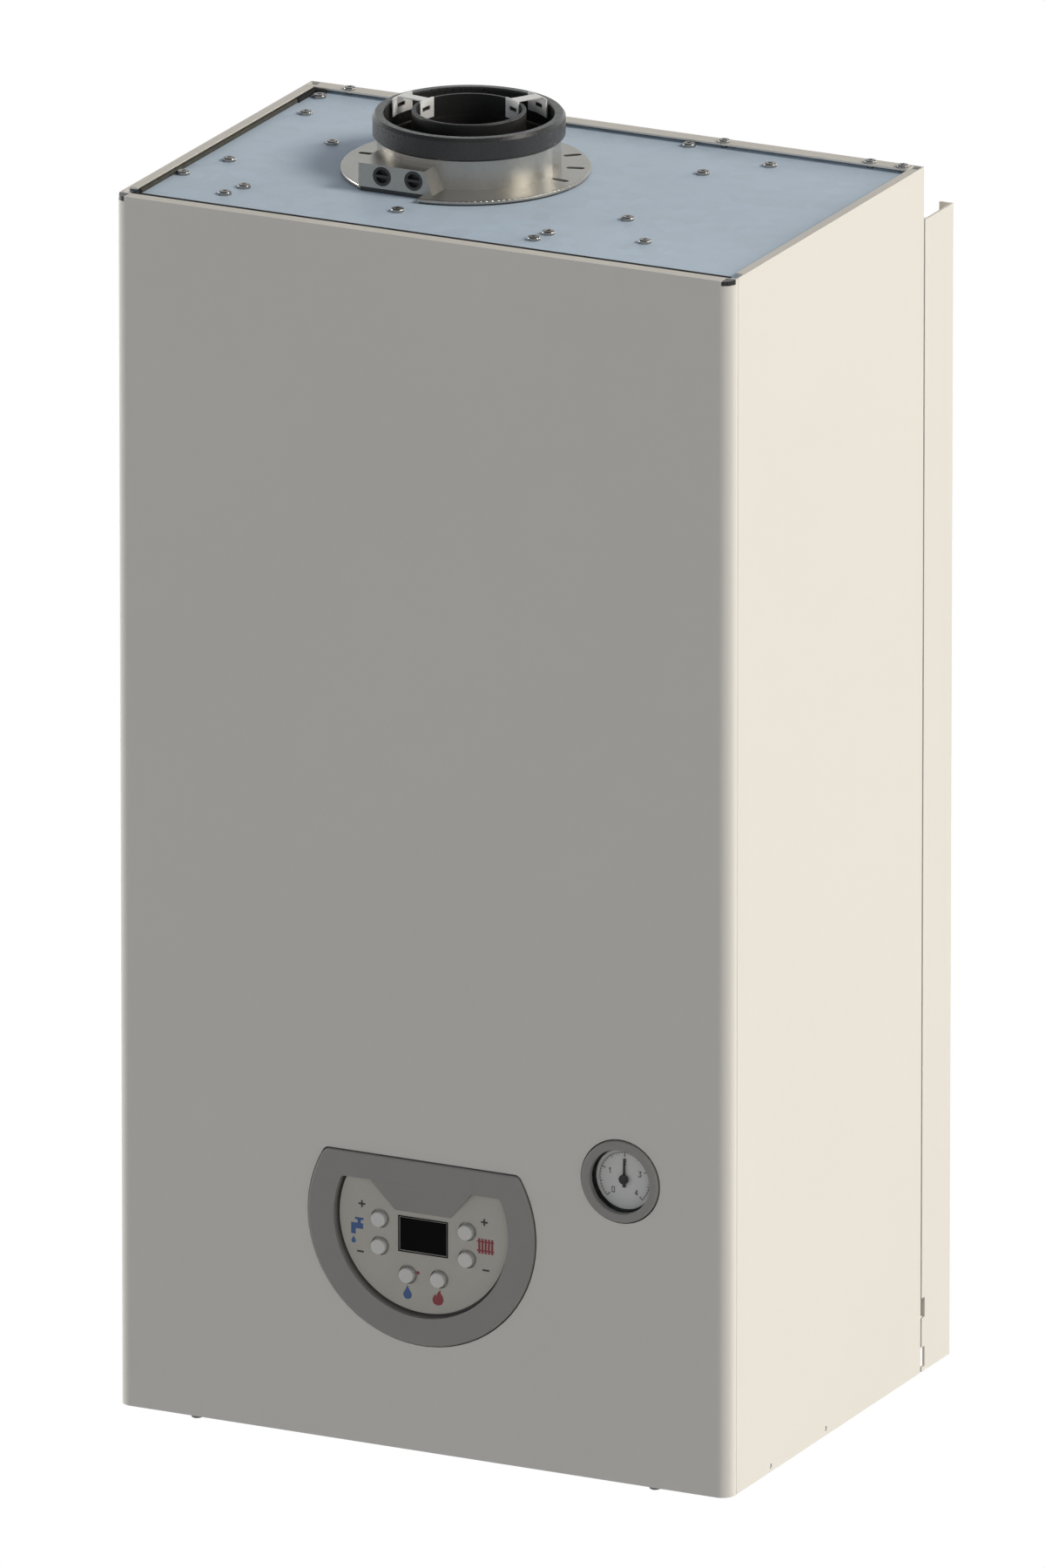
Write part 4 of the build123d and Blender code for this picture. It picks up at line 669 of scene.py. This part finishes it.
# foam strip along the left edge of the top plate, with a moulded end at the rear corner; its dark olive colour is
# painted shade under the side panel's top flange, and the near-black end is painted shadow in the rear corner
p = Piece("left_seal_shade_strip", "root", "black_rubber", EDGE_FOAM_PAINTED_SHADE)
p.prism("y", rounded(-194.05, -191.1, 741.02, 743.7, 0.9, 4), -280.6, -76.0, 0.4)
p.use(FOAM_PAINTED_SHADE)
p.prism("y", rounded(-194.05, -190.3, 741.02, 743.75, 0.9, 4), -76.0, -50.3, 0.4)
p.prism("z", rounded(-190.6, -184.5, -55.5, -50.3, 1.4, 4), 741.02, 743.4, 0.4)
p.done()

# black rubber buffers in the front panel's two top corner notches, put there as painted shade where the notches are
# dark
for side, tag in ((-1, "left"), (1, "right")):
    p = Piece("corner_shade_buffer_" + tag, "front_cover", "black_rubber")
    outer = arc(192.0, -292.0, 7.75, -76, -2, 8)
    head = [(193.75, -293.3)] + [(193.75, outer[0][1])] + outer + [(outer[-1][0], -293.3)]
    stem = arc(192.0, -292.0, 6.7, -72, -6, 8)
    stem = [(193.95, -293.0)] + stem + [(198.6, -293.0)]
    if side < 0:
        head = [(-x, y) for x, y in reversed(head)]
        stem = [(-x, y) for x, y in reversed(stem)]
    p.prism("z", head, 741.1, 743.75, 0.4)
    p.prism("z", stem, 726.0, 741.2, 0.3)
    p.done()

# gasket under the rim of the flue collar's foot, and its dark lip under the boss; the black rubber is partly a real
# gasket and partly painted shade for the contact shadow under the foot's rim and the boss
FX, FY = -42.0, -151.4
p = Piece("collar_gasket_and_shade", "root", "black_rubber")
p.prism("z", arc(FX, FY - 4.0, 72.9, 273.6, 597.8, 96) + arc(FX, FY - 4.0, 71.1, 597.8, 273.6, 96), 741.05, 742.15)
p.block((FX - 37.8, FX + 4.0), (FY - 67.6, FY - 65.6), (741.05, 743.9), 0.3)
p.done()

# ------------------------------------------------------------------
# Control panel: printed symbols
# ------------------------------------------------------------------
FACE = -298.5            # key plate


def print_shape(p, pts, t=0.10, face=FACE):
    p.prism("y", pts, face + 0.05, face - t)


def bar(p, x0, x1, h0, h1, t=0.10):
    print_shape(p, [(x0, h0), (x1, h0), (x1, h1), (x0, h1)], t)


def drop(cx, ch, s):
    """Water drop: round below, pointed above."""
    pts = arc(cx, ch - 0.18 * s, 0.52 * s, 150, 390, 18)
    return pts + [(cx + 0.20 * s, ch + 0.48 * s), (cx, ch + 0.95 * s), (cx - 0.20 * s, ch + 0.48 * s)]


p = Piece("panel_print_blue", "control_unit", "knob_blue", PRINT_BLUE)
# tap symbol: spout, body and a drop
for shape in ([(-45.6, 134.2), (-38.8, 134.2), (-38.8, 137.2), (-45.6, 137.2)],
              [(-45.6, 131.2), (-43.0, 131.2), (-43.0, 134.3), (-45.6, 134.3)],
              [(-41.9, 137.1), (-40.1, 137.1), (-40.1, 139.2), (-41.9, 139.2)],
              [(-43.4, 139.0), (-38.6, 139.0), (-38.6, 140.2), (-43.4, 140.2)],
              drop(-44.2, 127.9, 2.4)):
    print_shape(p, [((x + 42.0) * 1.15 - 42.9, (h - 134.0) * 1.15 + 131.2) for x, h in shape])
print_shape(p, drop(-10.2, 96.2, 5.3))
p.done()

p = Piece("panel_print_red", "control_unit", "knob_red", PRINT_RED)
# radiator symbol: five fins on two rails
for i in range(5):
    x = 36.0 + i * 2.1
    bar(p, x, x + 1.45, 127.6, 136.8)
bar(p, 35.2, 46.3, 134.5, 135.4, 0.11)
bar(p, 35.2, 46.3, 129.0, 129.9, 0.11)
# flame symbol
flame = [(9.6, 91.2), (12.2, 92.2), (13.4, 94.6), (12.9, 97.2), (11.4, 99.0), (11.3, 101.2), (9.6, 99.4),
         (8.5, 97.0), (7.9, 98.2), (6.6, 96.4), (6.0, 94.2), (7.2, 92.0)]
print_shape(p, flame)
# reset dot beside the first lower key
print_shape(p, arc(-3.4, 109.6, 1.1, 0, 337.5, 15))
p.done()

p = Piece("panel_print_dark", "control_unit", "needle_black", PRINT_DARK)
for sx in (-1, 1):
    # plus above and minus below
    bar(p, sx * 40.0 - 2.2, sx * 40.0 + 2.2, 146.5, 147.6)
    bar(p, sx * 40.0 - 0.55, sx * 40.0 + 0.55, 144.9, 149.2, 0.11)
    bar(p, sx * 41.0 - 2.2, sx * 41.0 + 2.2, 117.0, 118.1)
p.done()

# thin frame round the display window
p = Piece("display_frame", "control_unit", "display_black", BLACK_AND_RECESS_SHADE)
fr = 0.7
p.block((-15.6, 15.6), (-299.0, -298.2), (142.9, 143.6), 0.15)
p.block((-15.6, 15.6), (-299.0, -298.2), (121.4, 122.1), 0.15)
p.block((-16.2, -15.5), (-299.0, -298.2), (121.4, 143.6), 0.15)
p.block((15.5, 16.2), (-299.0, -298.2), (121.4, 143.6), 0.15)
p.done()

# ------------------------------------------------------------------
# Gauge: scale and plain numbers on the dial, dark inner wall
# ------------------------------------------------------------------
GX, GH = 129.3, 185.6
DIAL = -294.0
p = Piece("gauge_inner_wall", "control_unit", "black_plastic", BLACK_AND_RECESS_SHADE)
p.lathe("y", (GX, GH), [(19.35, -294.1), (19.35, -297.5), (18.7, -297.5), (18.5, -294.1)], 64, closed=True)
p.done()
p = Piece("gauge_scale", "control_unit", "needle_black", PRINT_DARK)
for i in range(41):
    a = math.radians(225 - i * 270 / 40)
    big = i % 10 == 0
    half = 0.28 if big else (0.2 if i % 5 == 0 else 0.13)
    r0 = 13.6 if big else (14.6 if i % 5 == 0 else 15.2)
    r1 = 16.4
    ux, uh = math.cos(a), math.sin(a)
    tx, th = -uh, ux
    p.prism("y", [(GX + ux * r0 - tx * half, GH + uh * r0 - th * half), (GX + ux * r1 - tx * half, GH + uh * r1 - th * half),
                  (GX + ux * r1 + tx * half, GH + uh * r1 + th * half), (GX + ux * r0 + tx * half, GH + uh * r0 + th * half)],
            DIAL + 0.03, DIAL - 0.08)
ring = arc(0, 0, 16.4, 225, -45, 60)
inner = arc(0, 0, 16.1, -45, 225, 60)
p.prism("y", [(GX + a, GH + b) for a, b in ring + inner], DIAL + 0.03, DIAL - 0.08)
p.done()

# numerals as strokes on a 2 x 3 grid
STROKES = {
    "0": [[(0, 0), (1, 0), (1, 2), (0, 2), (0, 0)]],
    "1": [[(0.3, 1.6), (0.7, 2), (0.7, 0)]],
    "2": [[(0, 1.7), (0.25, 2), (0.8, 2), (1, 1.6), (1, 1.2), (0, 0), (1, 0)]],
    "3": [[(0, 2), (1, 2), (0.45, 1.15), (0.9, 0.95), (1, 0.5), (0.75, 0), (0.2, 0), (0, 0.3)]],
    "4": [[(0.75, 0), (0.75, 2), (0, 0.6), (1, 0.6)]],
}
p = Piece("gauge_numbers", "control_unit", "needle_black", PRINT_DARK)
for k in range(5):
    a = math.radians(225 - k * 67.5)
    cx, ch = GX + 10.6 * math.cos(a), GH + 10.6 * math.sin(a)
    s = 1.55
    for line in STROKES[str(k)]:
        for (u0, v0), (u1, v1) in zip(line, line[1:]):
            x0, h0 = cx + (u0 - 0.5) * s, ch + (v0 - 1) * s
            x1, h1 = cx + (u1 - 0.5) * s, ch + (v1 - 1) * s
            d = Vector((x1 - x0, h1 - h0))
            d.normalize()
            w = 0.24
            e = d * w
            nrm = Vector((-d.y, d.x)) * w
            p.prism("y", [(x0 - e.x - nrm.x, h0 - e.y - nrm.y), (x1 + e.x - nrm.x, h1 + e.y - nrm.y),
                          (x1 + e.x + nrm.x, h1 + e.y + nrm.y), (x0 - e.x + nrm.x, h0 - e.y + nrm.y)],
                    DIAL + 0.03, DIAL - 0.08)
p.done()

# ------------------------------------------------------------------
# Inside: fittings and details that show once the front panel is off
# ------------------------------------------------------------------
ZINC = M["screw_zinc"]
BRASS = M["brass"]
BLACK = M["black_plastic"]
GLASS_DARK = plastic("sight_glass", (0.03, 0.018, 0.012), 0.08, 300.0, 0.0, 0.0, 0.6)
CONNECTOR = plastic("connector_white", (0.62, 0.61, 0.57), 0.45, 700.0, 0.1)
HX, HH = -42.0, 520.0


def polar(cx, ch, r, deg):
    return (cx + r * math.cos(math.radians(deg)), ch + r * math.sin(math.radians(deg)))


# burner door: flange ring, eight bolts and a sight glass
p = Piece("burner_door_fittings", "root", "screw_zinc")
for k in range(8):
    p.bolt("y", polar(HX, HH, 87.5, 22.5 + 45 * k), -220.0, -1, 8.0, 5.2, 5.4, 0.3 * k)
p.use(M["cast_aluminium"])
p.lathe("y", (HX, HH), [(95.6, -219.9), (95.6, -221.6), (94.6, -222.2), (93.0, -222.2), (92.0, -219.9)], 96, closed=True)
for k in range(12):
    if k in (0, 6):
        continue
    a = math.radians(30 * k)
    u, v = math.cos(a), math.sin(a)
    pts = [(HX + u * 36 - v * 1.3, HH + v * 36 + u * 1.3), (HX + u * 36 + v * 1.3, HH + v * 36 - u * 1.3),
           (HX + u * 79 + v * 1.3, HH + v * 79 - u * 1.3), (HX + u * 79 - v * 1.3, HH + v * 79 + u * 1.3)]
    if abs(pts[0][1] - HH) > 27.5 and abs(pts[2][1] - HH) > 27.5:
        p.prism("y", pts, -219.9, -222.3, 0.4)
sg = polar(HX, HH, 62, 141)
p.lathe("y", sg, [(11.0, -219.9), (11.0, -223.0), (10.2, -223.8), (7.0, -223.8), (7.0, -219.9)], 40, closed=True)
p.use(GLASS_DARK)
p.lathe("y", sg, [(7.0, -220.0), (7.0, -222.0), (6.4, -222.4)], 36)
p.done()

# drum of the heat exchanger: pressed beads and two brackets with bolts
p = Piece("drum_beads", "root", "stainless")
for y in (-142.0, -160.0, -178.0, -196.0):
    p.lathe("y", (HX, HH), [(91.8, y + 3.4), (93.3, y + 2.2), (94.0, y), (93.3, y - 2.2), (91.8, y - 3.4)], 120)
p.done()
p = Piece("drum_brackets", "root", "galvanised")
for sx in (-1, 1):
    x = HX + sx * 96.5
    p.block((x - 1.0, x + 1.0), (-205.0, -128.0), (497.0, 543.0), 0.4)
    p.use(ZINC)
    for y in (-190.0, -145.0):
        p.bolt("x", (y, 520.0), x + sx * 1.0, sx, 8.0, 4.6, 5.2)
    p.use(M["galvanised"])
p.done()

# spark and sensing electrodes: holder plate with two screws
p = Piece("electrode_holder", "root", "stainless")
e1, e2 = (HX + 38, HH + 34), (HX + 24, HH + 45)
mx, mh = (e1[0] + e2[0]) / 2, (e1[1] + e2[1]) / 2
d = Vector((e1[0] - e2[0], e1[1] - e2[1])).normalized()
nn = Vector((-d.y, d.x))
pts = []
for (a_, b_) in ((-19, -6.5), (19, -6.5), (19, 6.5), (-19, 6.5)):
    q = Vector((mx, mh)) + d * a_ + nn * b_
    pts.append((q.x, q.y))
p.prism("y", pts, -220.0, -221.4, 0.3)
p.use(ZINC)
for a_ in (-15.5, 15.5):
    q = Vector((mx, mh)) + d * a_
    p.pan("y", (q.x, q.y), -221.3, -1, 2.8, 2.0)
p.done()

# fan: scroll rim, cover screws, ribbed motor with end cap and connector
FANX, FANH = 122.0, 470.0
p = Piece("fan_fittings", "root", "cast_aluminium")
p.lathe("y", (FANX, FANH), [(59.8, -211.8), (59.8, -213.4), (58.8, -214.0), (55.5, -214.0), (54.5, -211.8)], 96, closed=True)
for k in range(6):
    c = polar(FANX, FANH, 57.0, 15 + 60 * k)
    if c[1] < 489 or c[0] > 112:
        p.lathe("y", c, [(5.0, -211.8), (5.0, -215.4), (4.4, -216.0)], 24)
        p.use(ZINC)
        p.pan("y", c, -215.8, -1, 3.2, 2.2)
        p.use(M["cast_aluminium"])
for k in range(8):
    a = math.radians(45 * k + 10)
    u, v = math.cos(a), math.sin(a)
    p.prism("y", [(FANX + u * 32.5 - v * 0.9, FANH + v * 32.5 + u * 0.9), (FANX + u * 32.5 + v * 0.9, FANH + v * 32.5 - u * 0.9),
                  (FANX + u * 52 + v * 0.9, FANH + v * 52 - u * 0.9), (FANX + u * 52 - v * 0.9, FANH + v * 52 + u * 0.9)],
            -211.9, -213.8, 0.3)
p.done()
p = Piece("fan_motor_details", "root", "motor_black")
for k in range(24):
    a = math.radians(15 * k)
    u, v = math.cos(a), math.sin(a)
    p.prism("y", [(FANX + u * 29.5 - v * 0.8, FANH + v * 29.5 + u * 0.8), (FANX + u * 29.5 + v * 0.8, FANH + v * 29.5 - u * 0.8),
                  (FANX + u * 31.2 + v * 0.6, FANH + v * 31.2 - u * 0.6), (FANX + u * 31.2 - v * 0.6, FANH + v * 31.2 + u * 0.6)],
            -216.0, -240.0, 0.2)
p.lathe("y", (FANX, FANH), [(20.0, -248.0), (20.0, -249.6), (19.0, -250.4), (8.0, -250.4), (7.0, -249.2)], 48)
p.use(ZINC)
for k in range(3):
    p.pan("y", polar(FANX, FANH, 14.0, 90 + 120 * k), -250.3, -1, 2.4, 1.5)
p.use(BLACK)
p.block((110.0, 134.0), (-243.0, -224.0), (499.0, 511.0), 1.2)
p.use(CONNECTOR)
p.block((113.0, 131.0), (-240.0, -227.0), (510.5, 516.0), 0.6)
p.done()

# mixture duct: stiffening ribs and clamp screws
p = Piece("duct_ribs", "root", "black_plastic")
for h in (507.0, 520.0, 533.0):
    p.block((-52.0, 90.0), (-258.6, -256.9), (h - 1.2, h + 1.2), 0.5)
for cx in (-42.0, 80.0):
    p.lathe("y", (cx, 520.0), [(10.0, -256.9), (10.0, -259.4), (9.0, -260.2)], 40)
p.use(ZINC)
for cx in (-42.0, 80.0):
    p.bolt("y", (cx, 520.0), -260.1, -1, 10.0, 5.0)
p.done()

# gas valve: front cover, adjusters, plug, unions and clamp
p = Piece("gas_valve_fittings", "root", "cast_aluminium")
p.block((91.5, 152.5), (-217.2, -213.8), (268.0, 326.0), 1.2)
p.lathe("z", (122.0, -186.0), [(24.2, 384.0), (28.0, 385.5), (28.0, 396.0), (24.2, 397.6)], 56, closed=True)
p.use(ZINC)
for c in ((96.5, 273.0), (147.5, 273.0), (96.5, 321.0), (147.5, 321.0)):
    p.pan("y", c, -217.1, -1, 3.0, 2.0)
p.bolt("x", (-186.0, 390.5), 150.0, 1, 7.0, 5.0)
p.use(BRASS)
p.lathe("y", (108.0, 286.0), [(6.5, -217.0), (6.5, -222.0), (5.6, -223.0), (3.0, -223.0), (2.6, -221.5)], 32)
p.hexagon("z", (122.0, -186.0), 27.0, 261.8, 249.0, 1.0)
p.hexagon("z", (122.0, -186.0), 21.0, 249.2, 243.0, 1.0)
p.use(BLACK)
p.block((118.0, 146.0), (-232.0, -217.0), (294.0, 314.0), 1.6)
p.use(CONNECTOR)
p.block((121.0, 143.0), (-234.5, -231.5), (297.0, 311.0), 0.7)
p.use(BLACK)
for y in (-202.0, -172.0):
    p.lathe("x", (y, 297.0), [(13.0, 80.0), (13.0, 70.0), (12.2, 68.6), (12.1, 66.0)], 40)
    p.lathe("x", (y, 297.0), [(4.6, 65.4), (4.6, 61.5), (3.8, 60.6)], 24)
p.done()

# condensate trap: bands, cleaning cap and hose clamp
p = Piece("trap_fittings", "root", "trap_grey")
for h in (362.0, 378.0, 394.0):
    p.lathe("z", (HX, -188.0), [(21.8, h - 1.6), (23.2, h - 0.8), (23.2, h + 0.8), (21.8, h + 1.6)], 56, closed=True)
p.lathe("z", (HX, -188.0), [(14.0, 347.8), (14.0, 340.0), (13.0, 338.8), (10.6, 338.8), (10.6, 347.8)], 40, closed=True)
p.use(M["stainless"])
p.lathe("z", (HX, -188.0), [(22.2, 412.0), (22.9, 412.0), (22.9, 420.0), (22.2, 420.0)], 64, closed=True)
p.block((HX + 18.0, HX + 30.0), (-206.5, -199.0), (411.0, 421.0), 1.0)
p.done()

# left block: front screws, union on the heating flow, motor clip and plug
p = Piece("left_block_fittings", "root", "screw_zinc")
for c in ((-158.0, 48.0), (-158.0, 122.0), (-52.0, 48.0), (-52.0, 122.0)):
    p.bolt("y", c, -164.0, -1, 7.0, 4.0)
for c in ((-146.0, 75.0), (-114.0, 75.0), (-146.0, 117.0), (-114.0, 117.0)):
    p.pan("y", c, -207.9, -1, 2.6, 1.8)
p.use(BRASS)
p.hexagon("z", (-140.0, -140.0), 30.0, 129.8, 143.0, 1.2)
p.lathe("z", (-140.0, -140.0), [(9.2, 142.5), (12.0, 142.5), (11.4, 148.0), (9.2, 149.0)], 40, closed=True)
p.hexagon("z", (-64.0, -124.0), 22.0, 129.8, 141.0, 1.2)
p.use(BLACK)
p.block((-140.0, -120.0), (-203.0, -184.0), (121.6, 131.5), 1.2)
p.use(CONNECTOR)
p.block((-137.5, -122.5), (-200.0, -187.0), (131.0, 136.5), 0.6)
p.use(M["spring_steel"])
p.tube([(-153.0, -171.0, 90.0), (-153.0, -171.0, 120.0), (-150.0, -171.0, 124.5), (-110.0, -171.0, 124.5),
        (-107.0, -171.0, 120.0), (-107.0, -171.0, 90.0)], 1.1, 12)
p.done()

# right block: front screws, union on the heating return, gauge fitting
p = Piece("right_block_fittings", "root", "screw_zinc")
for c in ((52.0, 48.0), (52.0, 122.0), (158.0, 122.0)):
    p.bolt("y", c, -164.0, -1, 7.0, 4.0)
p.use(BRASS)
p.hexagon("z", (140.0, -140.0), 30.0, 129.8, 143.0, 1.2)
p.lathe("z", (140.0, -140.0), [(9.2, 142.5), (12.0, 142.5), (11.4, 148.0), (9.2, 149.0)], 40, closed=True)
p.hexagon("z", (64.0, -134.0), 16.0, 129.8, 139.0, 1.0)
p.lathe("z", (82.0, -104.0), [(13.2, 139.0), (15.2, 139.0), (15.2, 144.5), (13.2, 145.5)], 40, closed=True)
p.done()

# pump motor: terminal box, vent screw, cooling ribs
PX_, PH_ = 128.0, 86.0
p = Piece("pump_motor_details", "root", "motor_black")
for k in range(30):
    a = math.radians(12 * k)
    if 55 < 12 * k < 125:
        continue
    u, v = math.cos(a), math.sin(a)
    p.prism("y", [(PX_ + u * 36.6 - v * 0.9, PH_ + v * 36.6 + u * 0.9), (PX_ + u * 36.6 + v * 0.9, PH_ + v * 36.6 - u * 0.9),
                  (PX_ + u * 38.6 + v * 0.6, PH_ + v * 38.6 - u * 0.6), (PX_ + u * 38.6 - v * 0.6, PH_ + v * 38.6 + u * 0.6)],
            -168.0, -201.0, 0.2)
p.block((104.0, 152.0), (-205.0, -172.0), (120.0, 145.0), 2.5, 3)
p.use(ZINC)
for c in ((109.0, 125.5), (147.0, 125.5), (109.0, 140.0), (147.0, 140.0)):
    p.pan("y", c, -204.9, -1, 2.2, 1.5)
p.use(BRASS)
p.lathe("y", (PX_, PH_), [(9.0, -209.9), (9.0, -212.4), (8.0, -213.4), (3.2, -213.4), (3.0, -212.0)], 40)
p.use(BLACK)
p.lathe("x", (-188.0, 132.0), [(5.5, 104.2), (5.5, 99.0), (4.6, 98.0)], 24)
p.done()

# plate heat exchanger: end plate, studs with nuts
p = Piece("plate_exchanger_fittings", "root", "stainless")
p.prism("y", rounded(-97.0, 77.0, 72.5, 119.5, 9.0), -200.3, -202.6, 0.6)
p.use(ZINC)
for c in ((-86.0, 96.0), (66.0, 96.0)):
    p.bolt("y", c, -202.5, -1, 10.0, 6.0)
p.use(M["stainless"])
for c in ((-60.0, 82.0), (-60.0, 110.0), (40.0, 82.0), (40.0, 110.0)):
    p.lathe("y", c, [(8.0, -202.4), (8.0, -203.4), (7.2, -204.0), (4.0, -204.0), (3.2, -203.2)], 36)
p.done()

# expansion vessel: charging valve with its cap and the pressed bead
p = Piece("vessel_fittings", "root", "brass")
p.lathe("z", (110.0, -81.0), [(5.5, 702.0), (5.5, 712.0), (4.2, 713.0), (4.2, 722.0), (3.2, 723.0)], 32)
p.hexagon("z", (110.0, -81.0), 14.0, 702.5, 708.5, 0.8)
p.use(BLACK)
p.lathe("z", (110.0, -81.0), [(5.4, 714.0), (5.4, 726.0), (4.6, 727.0)], 28)
p.use(M["vessel_red"])
p.prism("y", rounded(-120.0, 120.0, 350.0, 650.0, 50.0, 10), -113.9, -115.6, 0.7)
p.done()

# control box: cover screws and cable combs on its back
p = Piece("control_box_details", "control_unit", "box_grey")
p.use(ZINC)
for c in ((-176.0, 206.0), (176.0, 206.0), (-176.0, 60.0), (176.0, 60.0), (0.0, 206.0)):
    p.pan("y", c, -220.1, 1, 3.2, 1.8)
p.use(M["box_grey"])
for k in range(7):
    x = -120.0 + 40.0 * k
    p.block((x - 14.0, x + 14.0), (-220.2, -218.8), (150.0, 153.0), 0.5)
    p.block((x - 14.0, x + 14.0), (-220.2, -218.8), (140.0, 143.0), 0.5)
    p.block((x - 14.0, x + 14.0), (-220.2, -218.8), (130.0, 133.0), 0.5)
p.done()

# ------------------------------------------------------------------
# Back and bottom
# ------------------------------------------------------------------
p = Piece("rear_swages", "root", "casing_paint")
for x in (-110.0, 0.0, 110.0):
    p.prism("y", rounded(x - 14.0, x + 14.0, 110.0, 630.0, 13.5, 8), -40.1, -38.6, 1.0, 3)
p.done()

p = Piece("rear_rivets", "root", "screw_zinc")
for h in (100.0, 240.0, 380.0, 520.0, 650.0):
    for sx in (-1, 1):
        p.lathe("y", (sx * 165.0, h), [(3.4, -40.05), (3.2, -39.2), (2.0, -38.7)], 24)
p.done()

p = Piece("bottom_screws", "root", "screw_zinc")
for c in ((-188.0, -276.0), (188.0, -276.0), (-188.0, -60.0), (188.0, -60.0), (-188.0, -168.0), (188.0, -168.0)):
    p.pan("z", c, 8.0, -1, 3.6, 2.4)
p.done()

p = Piece("front_panel_screws", "front_cover", "screw_zinc")
for x in (-150.0, 150.0):
    p.pan("z", (x, -295.5), 0.0, -1, 3.6, 2.2)
    p.lathe("z", (x, -295.5), [(1.8, -0.1), (1.8, 9.0), (1.2, 10.0)], 16)
p.done()

p = Piece("pipe_grommets", "root", "black_rubber")
for x, y, rin, rout in ((-130.0, -110.0, 11.2, 17.0), (130.0, -110.0, 11.2, 17.0), (-65.0, -110.0, 7.7, 17.0),
                        (0.0, -110.0, 7.7, 17.0), (65.0, -110.0, 7.7, 17.0), (-175.0, -188.0, 12.0, 15.5)):
    p.lathe("z", (x, y), [(rin, 13.0), (rout, 13.0), (rout + 0.2, 14.0), (rout - 0.8, 15.9), (rin + 1.0, 17.2), (rin, 17.2)], 40, closed=True)
p.done()
